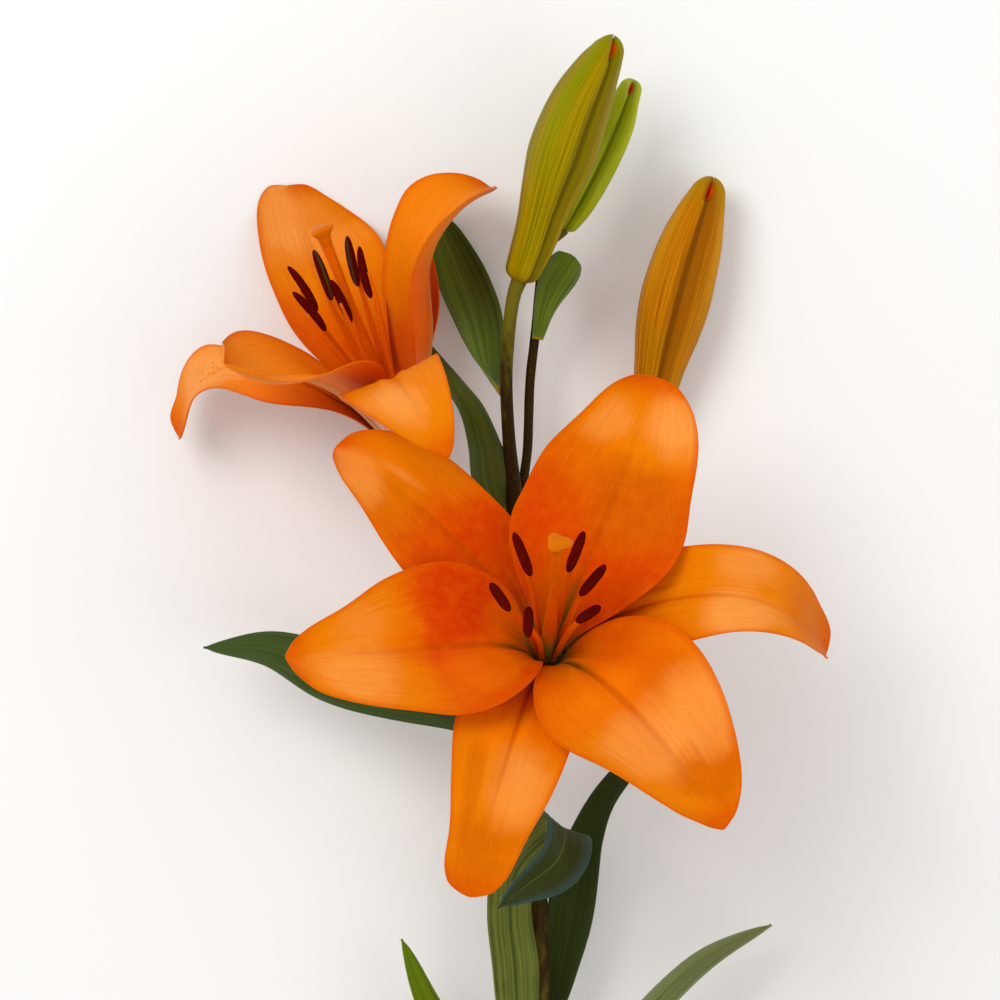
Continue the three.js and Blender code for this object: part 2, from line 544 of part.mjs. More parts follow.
const MATERIALS = {
  tepal: new THREE.MeshStandardMaterial({ color: 0xf0820f, roughness: 0.5, metalness: 0, side: THREE.DoubleSide }),
  heart: new THREE.MeshStandardMaterial({ color: 0xe8802a, roughness: 0.5, metalness: 0 }),
  anther: new THREE.MeshStandardMaterial({ color: 0x4f0d05, roughness: 0.85, metalness: 0 }),
  budGreen: new THREE.MeshStandardMaterial({ color: 0x93980f, roughness: 0.5, metalness: 0 }),
  budOrange: new THREE.MeshStandardMaterial({ color: 0xc07a08, roughness: 0.5, metalness: 0 }),
  leaf: new THREE.MeshStandardMaterial({ color: 0x44561c, roughness: 0.5, metalness: 0, side: THREE.DoubleSide }),
  stem: new THREE.MeshStandardMaterial({ color: 0x4a4a16, roughness: 0.6, metalness: 0 }),
};

// The whole plant

const lily = new THREE.Group();
lily.position.set(-CENTRE_OF_FOOTPRINT[0], -CENTRE_OF_FOOTPRINT[1], 0);

function add(name, geometry, material) {
  const mesh = new THREE.Mesh(geometry, material);
  mesh.name = name;
  lily.add(mesh);
}

add("stem", stemGeometry(), MATERIALS.stem);
for (const bloom of [FRONT_BLOOM, SIDE_BLOOM]) {
  const frame = bloomFrame(bloom);
  for (const tepal of bloom.tepals) {
    add(`${bloom.name}_${tepal.piece}`, tepalGeometry(frame, tepal), MATERIALS.tepal);
  }
  add(`${bloom.name}_pistil_and_filaments`, heartGeometry(frame, bloom), MATERIALS.heart);
  bloom.stamens.forEach((stamen, i) => {
    add(`${bloom.name}_anther_${i + 1}`, antherGeometry(frame, bloom, stamen), MATERIALS.anther);
  });
}
for (const bud of BUDS) {
  add(bud.name, budGeometry(bud), bud.name === "bud_orange" ? MATERIALS.budOrange : MATERIALS.budGreen);
}
for (const leaf of [...LEAVES, BRACT]) {
  add(leaf.name, leafGeometry(leaf), MATERIALS.leaf);
}

export default lily;
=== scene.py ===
"""An Asiatic lily, cut and laid on a table: one bloom open to the sky, one seen from its side, three
buds, a bract and narrow leaves on one stem.

The sizes below are millimetres in the plant's own working frame: +X across the stem, +Y along it towards
the buds, +Z up from the table. Meshes are made in metres, with the middle of the footprint as the origin.
"""

import math

import bpy
import numpy as np
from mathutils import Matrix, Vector


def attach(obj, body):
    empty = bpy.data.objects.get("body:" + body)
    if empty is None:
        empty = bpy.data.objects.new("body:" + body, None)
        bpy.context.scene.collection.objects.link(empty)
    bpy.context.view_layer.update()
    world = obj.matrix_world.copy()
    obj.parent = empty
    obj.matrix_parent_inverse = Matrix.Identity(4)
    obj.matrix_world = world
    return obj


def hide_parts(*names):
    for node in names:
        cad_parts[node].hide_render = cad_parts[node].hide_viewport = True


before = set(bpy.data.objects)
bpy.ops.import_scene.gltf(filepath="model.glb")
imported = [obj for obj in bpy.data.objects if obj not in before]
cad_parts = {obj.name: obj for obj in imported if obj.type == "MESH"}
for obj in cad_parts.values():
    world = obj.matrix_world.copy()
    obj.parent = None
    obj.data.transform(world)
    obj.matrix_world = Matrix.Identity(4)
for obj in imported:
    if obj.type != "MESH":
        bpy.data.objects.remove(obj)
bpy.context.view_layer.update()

bl_info = {
    "name": "Asiatic lily",
    "version": (1, 0, 0),
    "blender": (4, 5, 0),
    "location": "3D View > Sidebar > Lily",
    "description": "Grows a cut Asiatic lily with open blooms, buds and leaves",
    "category": "Add Mesh",
}

# Sizes in millimetres and angles in degrees. Most settings of the tepals, leaves and buds came out of a
# least-squares fit to points read off a photograph, and some were changed afterwards.

CENTRE_OF_FOOTPRINT = (-2.4, -0.1, 0.0)
METRES = 0.001

# Where a tepal starts on the receptacle, the width of its claw as a share, and the depth of its midrib groove
WHORLS = {
    "inner": {"start_radius": 3.9, "claw": 0.14, "groove": 1.2},
    "outer": {"start_radius": 5.8, "claw": 0.24, "groove": 0.8},
}
OVARY = {"length": 17, "radius": 2.1, "foot_radius": 2.0}
STYLE = {"length": 69.5, "radius": 1.2, "radius_at_top": 1.7}
STIGMA = {"length": 3.2, "radius": 3.7, "neck_radius": 2.0, "brim_radius": 3.3, "foot": 2.5, "brim": 2.2}
FILAMENT = {"radius": 0.9, "tip_radius": 0.5, "start_radius": 1.9, "clearance": 0.1, "bow": 0.5}
ANTHER_BOW = 0.5
SEAT_GAP = 0.3
BUD_SUNK = 0.6
LEAF_SUNK = 1.2
BLUNT = 0.985
TEPAL_LEAST_HALF_WIDTH = 0.7
LEAST_HALF_WIDTH = 0.25

# The share of the length at which a tip starts to close, and the share over which it would close
TEPAL_TIP = (0.972, 0.028)
LEAF_TIP = (0.96, 0.0401)
BUD_TIP = (0.95, 0.0501)

# Rows along a surface, columns across or round it, and the power that crowds the rows towards the tip
TEPAL_GRID = (76, 53, 1.35)
LEAF_GRID = (110, 41, 1.2)
BUD_GRID = (90, 108, 1.15)
ANTHER_GRID = (34, 32)

# A tepal's columns lie at the sines of even angles, up to this share of a quarter turn either way
MARGIN_CROWDING = 0.94

# Sides and steps of a tube
STYLE_TUBE = (30, 60)
STIGMA_TUBE = (48, 26)
FILAMENT_TUBE = (14, 40)
STEM_SIDES = 28

# Steps in which a tepal's midrib is summed, and in which each span of a smooth line is drawn
MIDRIB_STEPS = 400
SPAN_STEPS = 48

# Relief of a tepal: heights in millimetres, places and widths as shares of the half width
GROOVE_WIDTH = 0.11
SHOULDER = {"height": 0.3, "place": 0.2, "width": 0.08}
MARGIN_ROLL = 0.6
RIBS_EACH_SIDE = 4.5

# What a tepal's cup gains at its tip, and the share of its length at which that starts
HOOD = {"curl": 22, "start": 0.9}

# Relief of an anther and a bud, as shares of their radius
SAC_FURROW = {"depth": 0.2, "width": 0.3}
POLLEN = 0.022
SEAM_WIDTH = 0.11
KEEL = {"height": 0.02, "width": 0.1}
FLUTE = {"height": 0.007, "count": 27}
LOBE_NOTCH = {"broad": 0.12, "sharp": 0.35, "width": 0.35}

# Relief of a leaf, as of a tepal. The depth of its midrib is in furrows
VEINS_EACH_SIDE = 3.5
MIDRIB = {"depth": 2.4, "width": 0.07}
LEAF_WAVE = 0.35
LEAF_FOLD = 0.22

# Furrows and waves are lower where a leaf's half width is less than this
SLENDER_LEAF = 4

# A bloom's base is the top of its stalk. Its axis leans from straight up towards its heading. A stamen is
# its azimuth, the reach of its anther's middle from the axis and its height, and the tilt and turn of the
# anther.
#
# A tepal's azimuth is its direction round the axis. It is widest at its peak, a share of its length, and
# a smaller point leaves its tip blunter. Sway bends it sideways and twist turns it about its midrib. warm
# is how far up its deep colour reaches, and deep how red that is. The lists run from its foot to its tip
# at even steps: flare is its angle from the axis, cup half the angle that it curls across, and left and
# right the share by which each half is wider or narrower. A patch is a colour, its place as shares of the
# half width and of the length, its half sizes in the same shares, and its strength.
# Of the patches, the palest are painted highlights, and the clearest orange ones are painted light that lifts
# parts lying in shade.
FRONT_BLOOM = dict(
    name="front_bloom", base=(13.3, 52.9, 57.2), lean=24.8, heading=85.5, style_bend=2.5,
    anther=dict(length=12.8, width=2.8, depth=2.5),
    stamens=[(143, 11.6, 53, 72, -25), (201, 15.5, 52, 163, -63), (241, 12.9, 50, -121, -27),
             (322, 12.5, 50, -178, 54), (8, 10.4, 52, 109, 50), (59, 10, 54, 88, 15)],
    inner=[
        dict(place="right", azimuth=59.6, length=86.7, width=46, peak=0.46, point=0.65, sway=9, twist=-2,
             warm=0.7, deep=0.85, flare=[11, 39, 67, 69, 88], cup=[56, 57, 30, 24, 25],
             left=[0.95, 0.97, 1.02, 1.11, 1.01, 1.08, 1.17],
             right=[1.04, 1.1, 1.13, 1.06, 1.05, 0.96, 1.1],
             patches=[("bronze", -0.25, 0.62, 1.0, 0.15, 0.8), ("bronze", 0.28, 0.2, 0.45, 0.12, 0.6),
                      ("satin", -0.52, 0.84, 0.5, 0.11, 1), ("satin", 0.5, 0.82, 0.4, 0.08, 0.6)]),
        dict(place="left", azimuth=211.1, length=87.1, width=47, peak=0.46, point=0.81, sway=-12, twist=2,
             warm=0.6, deep=0.7, flare=[11, 41, 74, 78, 91], cup=[56, 57, 31, 25, 23],
             left=[1.22, 1.21, 1.04, 1.03, 0.94, 0.77, 0.87],
             right=[0.85, 0.9, 1.05, 1.11, 0.98, 1.02, 1.26],
             patches=[("ember", -0.7, 0.41, 0.8, 0.15, 0.65), ("bright", 0.0, 0.2, 0.9, 0.1, 0.5),
                      ("bright", 0.5, 0.38, 0.4, 0.12, 0.4), ("satin", 0.5, 0.8, 0.6, 0.16, 0.75),
                      ("satin", -0.6, 0.74, 0.45, 0.1, 0.35)]),
        dict(place="low", azimuth=314.6, length=92.8, width=45.5, peak=0.46, point=0.75, sway=-5, twist=6,
             warm=0.52, deep=0.3, flare=[14, 45, 69, 78, 103], cup=[56, 57, 29, 30, 27],
             left=[0.98, 1.01, 1.06, 1.12, 0.94, 0.9, 0.89],
             right=[1.03, 1.09, 1.12, 1.09, 1.02, 0.98, 1.06],
             patches=[("bright", 0.0, 0.2, 1.0, 0.1, 0.6), ("bright", -0.3, 0.36, 0.7, 0.14, 0.6),
                      ("bronze", 0.55, 0.48, 0.35, 0.07, 0.4), ("bronze", 0.35, 0.82, 0.7, 0.12, 0.8),
                      ("satin", -0.32, 0.66, 0.5, 0.13, 0.7), ("satin", 0.65, 0.63, 0.5, 0.12, 0.8)]),
    ],
    outer=[
        dict(place="right", azimuth=21.9, length=95.9, width=27, peak=0.51, point=0.46, sway=-18, twist=-8,
             warm=0.4, deep=0.1, flare=[16, 46, 65, 118, 163], cup=[45, 26, 11, 14, 21],
             left=[1.03, 1.03, 1.02, 0.95, 0.8, 0.76, 0.9], right=[0.99, 0.99, 1, 1.03, 1.1, 1.2, 1.4],
             patches=[("bronze", 0.3, 0.9, 1.1, 0.1, 0.5), ("satin", -0.55, 0.66, 0.6, 0.13, 1),
                      ("satin", 0.65, 0.66, 0.4, 0.08, 0.7)]),
        dict(place="left", azimuth=140.6, length=84.3, width=33, peak=0.5, point=0.65, sway=5, twist=-1,
             warm=0.62, deep=0.65, flare=[16, 48, 67, 75, 100], cup=[45, 26, 10, 14, 23],
             left=[1.03, 1.05, 1.05, 0.98, 1.04, 1.13, 1.28],
             right=[1.01, 1.05, 1.08, 1.08, 0.97, 0.85, 0.9],
             patches=[("ember", 0.0, 0.46, 1.0, 0.18, 0.5), ("bronze", 0.1, 0.73, 0.8, 0.1, 0.45),
                      ("satin", 0.35, 0.9, 0.6, 0.1, 0.7), ("satin", -0.28, 0.77, 0.1, 0.08, 0.5)]),
        dict(place="low", azimuth=256.8, length=93.4, width=31, peak=0.48, point=0.38, sway=2, twist=-1,
             warm=0.35, deep=0.1, flare=[17, 51, 74, 88, 104], cup=[45, 26, 10, 14, 21],
             left=[1.02, 1.04, 1.07, 1.05, 0.87, 0.745, 0.95],
             right=[1, 1.01, 1.03, 1.03, 0.97, 0.86, 0.95],
             patches=[("bright", 0.0, 0.35, 1.1, 0.2, 1), ("bronze", 0.1, 0.89, 1.1, 0.12, 0.7),
                      ("satin", 0.38, 0.63, 0.55, 0.13, 0.8), ("bronze", -0.55, 0.66, 0.2, 0.14, 0.5)]),
    ],
)

SIDE_BLOOM = dict(
    name="side_bloom", base=(-25.3, 110.9, 22.8), lean=66.6, heading=111.8, style_bend=0,
    anther=dict(length=15.2, width=2.7, depth=2.4),
    stamens=[(165, 11, 56.5, 20, -23), (210, 12.9, 53, 15, -8), (110, 12.5, 54.6, 17, -8),
             (250, 6, 52, 9, 0), (60, 9.6, 56.4, 8, -6), (330, 8, 56.7, 3, 13)],
    inner=[
        dict(place="back", azimuth=104.1, length=91.8, width=36, peak=0.51, point=0.6, sway=-7, twist=-18,
             warm=0.5, deep=0.45, flare=[12, 32, 46, 54, 74], cup=[56, 57, 33, 21, 25],
             left=[0.85, 0.8, 0.76, 0.74, 0.73, 0.76, 0.84, 1.02, 1.1, 1.06, 0.97, 0.9, 0.9],
             right=[1.04, 1.07, 1.08, 0.99, 0.97, 1.01, 1.2],
             patches=[("satin", -0.1, 0.82, 0.7, 0.18, 0.45), ("satin", 0.5, 0.86, 0.6, 0.18, 1)]),
        dict(place="left", azimuth=215.3, length=82.9, width=43, peak=0.55, point=0.68, sway=8, twist=27,
             warm=0.3, deep=0, flare=[13, 25, 45, 62, 35], cup=[56, 56, 52, 39, 38],
             left=[1.05, 1.07, 1.07, 0.94, 0.96, 0.89, 0.97], right=[1, 1, 1, 0.99, 1, 1.01, 1.04],
             patches=[("bright", -0.5, 0.45, 1.2, 0.35, 1), ("ember", 0.8, 0.47, 0.5, 0.15, 0.4)]),
        dict(place="right", azimuth=5.3, length=87.2, width=41, peak=0.55, point=0.65, sway=17, twist=-3,
             warm=0.45, deep=0.5, flare=[14, 31, 20, 64, 122], cup=[56, 56, 49, 35, 39],
             left=[0.95, 0.95, 0.94, 0.94, 0.95, 1, 1.06, 1.08, 1.09, 1.09, 1.09, 0.95, 0.5],
             right=[1.06, 1.1, 1.13, 1.15, 1.16, 1.08, 1, 0.96, 0.95, 1, 1.09, 0.95, 0.5],
             patches=[("bright", 0.3, 0.8, 0.8, 0.15, 0.5)]),
    ],
    outer=[
        dict(place="right", azimuth=40.5, length=68.6, width=31, peak=0.5, point=0.6, sway=18, twist=2,
             warm=0.9, deep=0.75, flare=[11, 33, 52, 55, 66], cup=[45, 26, 11, 12, 22],
             left=[0.92, 0.71, 0.57, 0.68, 0.63, 0.6, 0.72], right=[1.1, 1.15, 1.2, 1.2, 1.1, 1.03, 1.17]),
        dict(place="left", azimuth=160.3, length=84.2, width=31, peak=0.49, point=0.51, sway=3, twist=21,
             warm=0.3, deep=0.15, flare=[6, 22, 37, 44, 53, 76, 114, 145, 142], cup=[45, 25, 11, 13, 21],
             left=[1.02, 0.98, 0.94, 0.9, 0.87, 0.83, 0.76, 0.6, 0.6, 1.05, 1.22, 1.2, 1.35],
             right=[0.9, 0.92, 0.95, 1.02, 1.12, 1.17, 1.16, 1, 0.78, 0.58, 0.4, 0.4, 0.9],
             patches=[("bright", 0.4, 0.4, 1.2, 0.22, 1), ("satin", -0.2, 0.74, 0.9, 0.15, 0.9),
                      ("specks", -0.25, 0.73, 0.6, 0.06, 0.9)]),
        dict(place="front", azimuth=272.1, length=86, width=29, peak=0.48, point=0.78, sway=5, twist=0,
             warm=0.2, deep=0.1, flare=[13, 33, 64, 111, 156], cup=[45, 26, 10, 13, 22],
             left=[0.98, 0.99, 1.01, 1.06, 1.09, 1, 0.84], right=[1.01, 1.01, 1.01, 1, 0.96, 0.98, 1.02],
             patches=[("satin", -0.35, 0.73, 0.6, 0.11, 0.9)]),
    ],
)

# A bud's ridges stand out by a share of its radius and start at turn. Its profile is its radius from foot
# to tip, as a share of half its width.
BUDS = [
    dict(name="bud_large", width=17.6, ridge=0.05, turn=24,
         profile=[0.57, 0.7, 0.8, 0.98, 1.15, 1.12, 0.99, 0.73, 0.44],
         points=[(5.8, 159.1, 33.2), (9.1, 168.4, 34), (14.8, 187.4, 36), (22.1, 207.5, 37.5),
                 (32.4, 227.6, 38)]),
    dict(name="bud_small", width=13, ridge=0.07, turn=52,
         profile=[0.5, 0.7, 0.8, 0.85, 0.88, 0.88, 0.82, 0.62, 0.45],
         points=[(18.7, 174.2, 18.6), (28.5, 193.2, 19), (38.4, 216.5, 19)]),
    dict(name="bud_orange", width=20, ridge=0.05, turn=56,
         profile=[0.48, 0.63, 0.78, 0.96, 1.05, 1.01, 0.9, 0.67, 0.4],
         points=[(43.2, 118.2, 9.8), (45.7, 134.3, 10.3), (51.6, 158.9, 10.8), (56.7, 175.8, 10.5),
                 (61.4, 189.2, 10.5)]),
]

# base_share is the width of a leaf at its foot, as a share, and blunt below 1 stops its outline short of
# a point. roll turns it about its midrib and left and right widen or narrow each half, at even steps from
# foot to tip.
LEAVES = [
    dict(name="leaf_upper_right", kind="light", width=15, peak=0.48, base_share=0.35,
         roll=[-98, -40, -4, 4, 4], left=[0.39, 0.54, 0.72, 0.95, 1.2, 1.42],
         right=[0.82, 0.86, 1.04, 1.12, 1.22, 1.51],
         points=[(-0.6, 128.1, 32.1), (-3.7, 133.5, 23), (-7.5, 151, 10), (-12.4, 164.5, 3.5),
                 (-16.8, 174.1, 2), (-21.5, 180.1, 2)]),
    dict(name="leaf_upper_left", width=9, peak=0.42, base_share=0.5, roll=[-35, -30, -25, -15, -10],
         left=[1.9, 1.35, 0.89, 0.79, 0.87, 0.97], right=[1.97, 2.08, 1.3, 0.91, 0.82, 0.86],
         points=[(1.5, 93.4, 32.2), (-3.4, 99.3, 35.5), (-5.4, 111.3, 34), (-8.3, 121.7, 31),
                 (-12.7, 128.9, 27), (-17.6, 136.2, 22), (-22.1, 143.4, 18)]),
    dict(name="leaf_left", kind="shade", width=14, peak=0.45, base_share=0.45,
         roll=[-75, -50, -30, -25, -30], left=[1.15, 1.3, 1.32, 1.38, 1.07, 1.16],
         right=[0.98, 1.06, 1.16, 1.27, 1.2, 1.08],
         points=[(4.1, 27.3, 23.5), (-1.8, 29.5, 22), (-13.9, 35.8, 26), (-30.1, 41.6, 29), (-48, 47.7, 30),
                 (-65.1, 54.1, 28), (-83.8, 54.9, 23)]),
    dict(name="leaf_right", kind="dark", width=14.6, peak=0.35, base_share=0.4,
         roll=[65, 20, 12, 35, 50, 45, 40], left=[1, 1.05, 0.95, 0.64, 0.68, 0.97],
         right=[0.85, 0.86, 0.81, 0.77, 0.89, 1.01],
         points=[(15.1, -54.5, 14.8), (16.6, -47.2, 12), (18.2, -35.9, 12), (20.8, -23.3, 13.5),
                 (23.3, -8.9, 17), (26.1, 2.6, 21), (29.9, 11.9, 24), (38.9, 24.6, 27), (56.4, 54.9, 28)]),
    dict(name="leaf_folded", kind="folded", width=15, peak=0.5, base_share=0.65,
         roll=[185, 180, 180, 180, 180, 180], left=[0.95, 0.95, 1.01, 0.86, 0.78, 0.92, 1.39, 1.76, 1.36],
         right=[0.97, 0.95, 0.95, 0.88, 0.87, 0.99, 1.14, 1.22, 1.37],
         points=[(10.6, -62.9, 20.7), (5.8, -49.4, 27), (4.6, -34.5, 30), (3.2, -19.9, 33), (4.6, -8.4, 37),
                 (9.9, -1, 42), (15.2, 3.4, 45.5), (17.8, 5.2, 50), (18.2, 2.3, 55), (16, -3.3, 57.5),
                 (7.4, -10.4, 58), (-0.3, -16.7, 55)]),
    dict(name="leaf_low_left", kind="fresh", width=10, peak=0.4, base_share=0.45,
         roll=[-105, -60, -40, -35, -30], left=[1, 1.02, 1.03, 1.03, 0.99, 0.91],
         right=[1, 0.96, 0.93, 0.92, 1.03, 1.15],
         points=[(6.8, -82.5, 15.2), (6.9, -76, 16), (-3.3, -67.6, 20), (-13.3, -57.1, 23),
                 (-20.6, -45.5, 24), (-27.7, -28, 21)]),
    dict(name="leaf_low_right", kind="grey", width=13, peak=0.42, base_share=0.45,
         roll=[105, 62, 55, 55, 60], left=[0.98, 0.91, 0.86, 0.87, 1.15, 1.47],
         right=[0.98, 0.97, 0.96, 1.01, 1.15, 1.26],
         points=[(16, -85.3, 14.9), (22.6, -76.3, 16), (31.7, -64.1, 20), (40.7, -52.1, 23),
                 (49, -42.8, 24), (60, -33.6, 23), (77.5, -24.2, 19)]),
    dict(name="leaf_lower_left", width=13, peak=0.45, base_share=0.45, roll=[-70, -50, -20, -10, 0],
         points=[(7.3, -106.3, 9.9), (1.7, -100.9, 8), (-14, -90.8, 9), (-30.6, -76.5, 9),
                 (-44.2, -58.2, 5)]),
    dict(name="leaf_lower_right", width=13, peak=0.45, base_share=0.45, roll=[75, 50, 25, 15, 10],
         points=[(16.5, -111.9, 9.8), (24.6, -105.1, 9), (38.9, -92, 11), (53.2, -77.7, 11),
                 (63.9, -59.5, 7)]),
    dict(name="leaf_lower_front", width=12.5, peak=0.45, base_share=0.45, roll=[190, 178, 175, 175, 170],
         points=[(11.3, -127.3, 14.4), (11.7, -118, 20), (7.6, -102.8, 28), (2.5, -86.5, 34),
                 (-2, -69.4, 36)]),
    dict(name="leaf_lowest_left", width=12, peak=0.45, base_share=0.45, roll=[-85, -50, -20, -5, 0],
         points=[(7.6, -139.9, 8.1), (3.7, -135.3, 8), (-10.6, -124.3, 9), (-24.1, -110.2, 7),
                 (-33.3, -94.3, 3)]),
    dict(name="leaf_lowest_right", width=12, peak=0.45, base_share=0.45, roll=[90, 50, 20, 5, 0],
         points=[(17.5, -151.1, 7.5), (26.7, -146.9, 7), (40.4, -133.9, 8), (53.6, -117.8, 6),
                 (62.3, -100.1, 3)]),
    dict(name="bract", kind="bract", width=11, peak=0.55, base_share=0.4, blunt=0.75,
         roll=[4.33, 2.53, 8.75, 14.18], left=[0.68, 0.59, 0.66, 0.84, 1.08, 1.66],
         right=[0.66, 0.61, 0.68, 0.89, 1.22, 1.69],
         points=[(11.2, 143.5, 23.3), (13, 151.5, 23.9), (15.9, 158.4, 24.6), (20.8, 165.9, 25.5)]),
]

# Each point of a stalk has its radius after its place. tint is 0 where it is green and 1 where it is brown.
STEM_LINES = {
    "main": dict(steps=220, tint=[0.5, 0.5, 0.6, 0.65, 0.7, 0.85, 1, 1, 0.05],
         points=[(13.8, -227.5, 4, 4.1), (12.9, -168, 6, 4), (11.9, -112, 11, 3.9), (10.6, -42.7, 18, 3.8),
                 (9.5, 0, 22, 3.7), (8, 41.3, 26, 3.6), (6.2, 75, 28.8, 3.3), (4.8, 91.1, 31, 2.7),
                 (4, 101, 31.4, 2.2), (2.8, 113.1, 31.8, 1.85), (2, 130.9, 32, 1.8),
                 (2.5, 141.5, 32.2, 1.8), (3.3, 149.5, 32.5, 1.85), (4.4, 155.4, 32.9, 2),
                 (5.68, 158.78, 33.2, 2.3)]),
    "small_bud": dict(steps=60, tint=[0.95, 1, 1, 1, 0.9, 0.3],
         points=[(5.6, 82, 29, 1.5), (6.2, 95.3, 28, 1.4), (7.1, 103.8, 26.7, 1.35), (8, 110.9, 25.3, 1.35),
                 (8.8, 130.8, 23, 1.35), (10.3, 144.2, 21, 1.35), (11.6, 158, 19.5, 1.35),
                 (12.7, 168.2, 18.2, 1.5), (18.58, 173.93, 18.6, 1.7)]),
    "orange_bud": dict(steps=60, tint=[0.8, 0.7, 0.4],
         points=[(7, 66, 27.8, 2.3), (15, 80, 23, 2), (28, 97, 14.5, 2), (37.5, 107.5, 10.6, 2.1),
                 (42.2, 114.3, 9.78, 2.3), (43.13, 117.9, 9.8, 2.6)]),
    "front_bloom": dict(steps=60, tint=[0.5, 0.4, 0.2],
         points=[(8.6, 27, 24.5, 2.8), (10.4, 33, 32, 2.5), (11.8, 41, 43, 2.5), (13, 49.1, 49, 2.9),
                 (13.2, 51.6, 54.5, 4.8), (13.3, 52.9, 57.2, 6.3)]),
    "side_bloom": dict(steps=60, tint=[0.6, 0.4, 0.2],
         points=[(5.4, 74, 28.8, 2.4), (-4, 84, 25, 2.1), (-14, 94.5, 20.5, 2.1), (-21.2, 102, 18.4, 2.4),
                 (-24.2, 108.2, 21.5, 4.6), (-25.3, 110.9, 22.8, 6.3)]),
}

# What a user would change


def rgb(red, green, blue):
    """Linear colour from screen values of 0 to 255: ((c + 0.055) / 1.055) to the power 2.4, straight near
    black."""
    shares = [c / 255 for c in (red, green, blue)]
    return tuple(c / 12.92 if c < 0.04 else ((c + 0.055) / 1.055) ** 2.4 for c in shares)


def colour_property(name, description, *screen):
    return bpy.props.FloatVectorProperty(name=name, description=description, default=rgb(*screen),
                                         min=0, max=1, subtype="COLOR")


def length_property(name, description, millimetres):
    return bpy.props.FloatProperty(name=name, description=description, default=millimetres * METRES, min=0,
                                   unit="LENGTH", precision=5)


class LilySizes(bpy.types.PropertyGroup):
    tepal_thickness: length_property("Tepal thickness", "Thickness of a tepal at its midrib", 0.9)
    tepal_edge: length_property("Tepal edge", "Thickness of a tepal at its margin", 0.4)
    tepal_wave: length_property("Tepal wave", "How far the margin of a tepal waves up and down", 0.45)
    tepal_rib: length_property("Tepal ribs", "Height of the low ribs along a tepal", 0.07)
    leaf_thickness: length_property("Leaf thickness", "Thickness of a leaf at its midrib", 0.8)
    leaf_edge: length_property("Leaf edge", "Thickness of a leaf at its margin", 0.35)
    leaf_vein: length_property("Leaf veins", "Depth of the furrows between the veins of a leaf", 0.05)
    bud_seam: bpy.props.FloatProperty(
        name="Bud seam", description="Depth of a bud's seams as a share of its radius", default=0.075, min=0,
        max=0.3, subtype="FACTOR")


class LilyColours(bpy.types.PropertyGroup):
    throat: colour_property("Throat", "Tepal face deep in the throat", 238, 116, 4)
    deep_blade: colour_property("Deep blade", "Face of the reddest tepals up to the middle", 208, 54, 0)
    clear_blade: colour_property("Clear blade", "Face of the clearest tepals up to the middle", 240, 112, 0)
    vein: colour_property("Vein", "Midrib line and the darkest streaks of a tepal", 182, 66, 0)
    glow: colour_property("Glow", "Tepal face beyond its middle", 232, 126, 2)
    # Painted highlight: the palest patches of a tepal stand for the sheen of the light on its face
    satin: colour_property("Satin", "Palest patches of a tepal's face", 246, 154, 68)
    bronze: colour_property("Bronze", "Golden brown patches of a tepal's face", 204, 94, 0)
    ember: colour_property("Ember", "Reddest patches of a tepal's face", 206, 40, 0)
    # Painted light: patches of this clear orange lift parts of a tepal that lie in shade. It also makes the
    # fine mottling all over a tepal, which is its own colour
    bright: colour_property("Bright", "Clearest orange patches of a tepal's face", 250, 132, 4)
    tip: colour_property("Tip", "Tepal face at its tip and margin", 216, 82, 0)
    outside: colour_property("Outside", "Outer face of a tepal near its foot", 240, 182, 166)
    keel: colour_property("Keel", "Midrib on the outer face of a tepal", 206, 152, 96)
    furrow: colour_property("Furrow", "Honey furrow at the foot of a tepal", 84, 72, 6)
    style: colour_property("Style", "Style and filaments", 216, 94, 2)
    stigma: colour_property("Stigma", "Three-lobed stigma", 208, 106, 6)
    ovary: colour_property("Ovary", "Ovary at the foot of the style", 150, 150, 40)
    anther: colour_property("Anther", "Pollen-covered anther", 100, 14, 3)
    slit: colour_property("Anther slit", "Bare back of an anther", 74, 70, 34)
    leaf: colour_property("Leaf", "Upper face of a leaf", 80, 88, 20)
    leaf_pale: colour_property("Leaf underside", "Under face of a leaf", 110, 116, 52)
    leaf_dark: colour_property("Leaf in shade", "Darkest green of a leaf", 44, 54, 6)
    bloom_dust: colour_property("Leaf bloom", "Waxy blue-green bloom on a leaf", 84, 104, 84)
    bud_green: colour_property("Green bud", "Large and small green buds", 172, 140, 0)
    bud_stripe: colour_property("Bud stripe", "Darker stripes along a bud", 112, 98, 0)
    bud_orange: colour_property("Orange bud", "Bud that is about to open", 200, 118, 2)
    stem_green: colour_property("Green stem", "Young stem", 104, 96, 20)
    stem_brown: colour_property("Brown stem", "Stem flushed with brown", 46, 26, 4)


# Shapes as arrays


def unit(vectors):
    """Vectors divided by their lengths."""
    return vectors / np.linalg.norm(vectors, axis=-1, keepdims=True)


def smooth_step(value, low, high):
    """0 below low, 1 above high, and 3x^2 - 2x^3 between them."""
    x = np.clip((value - low) / (high - low), 0, 1)
    return x * x * (3 - 2 * x)


def bell(value, centre, width):
    """e to the power of minus the square of the distance from the centre, counted in widths."""
    return np.exp(-(((value - centre) / width) ** 2))


def closing(t, start, span):
    """1 up to the start, and a quarter ellipse down to 0 over the span."""
    return np.sqrt(1 - np.clip((t - start) / span, 0, 1) ** 2)


def crowded(count, power):
    """Shares from 0 to 1 that crowd towards 1: one less the power of what is left of even steps."""
    return 1 - (1 - np.linspace(0, 1, count)) ** power


def ring_angles(count):
    """Even angles round a ring, as a row."""
    return np.linspace(0, 2 * math.pi, count, endpoint=False)[None, :]


def on_one_grid(*values):
    """Several values on the same grid, as the last direction of one array."""
    return np.stack(np.broadcast_arrays(*values), axis=-1)


def resampled(t, vectors):
    """Vectors that are known at even steps, read between them at each t from 0 to 1."""
    even = np.linspace(0, 1, len(vectors))
    return np.stack([np.interp(t, even, vectors[:, axis]) for axis in range(3)], axis=1)


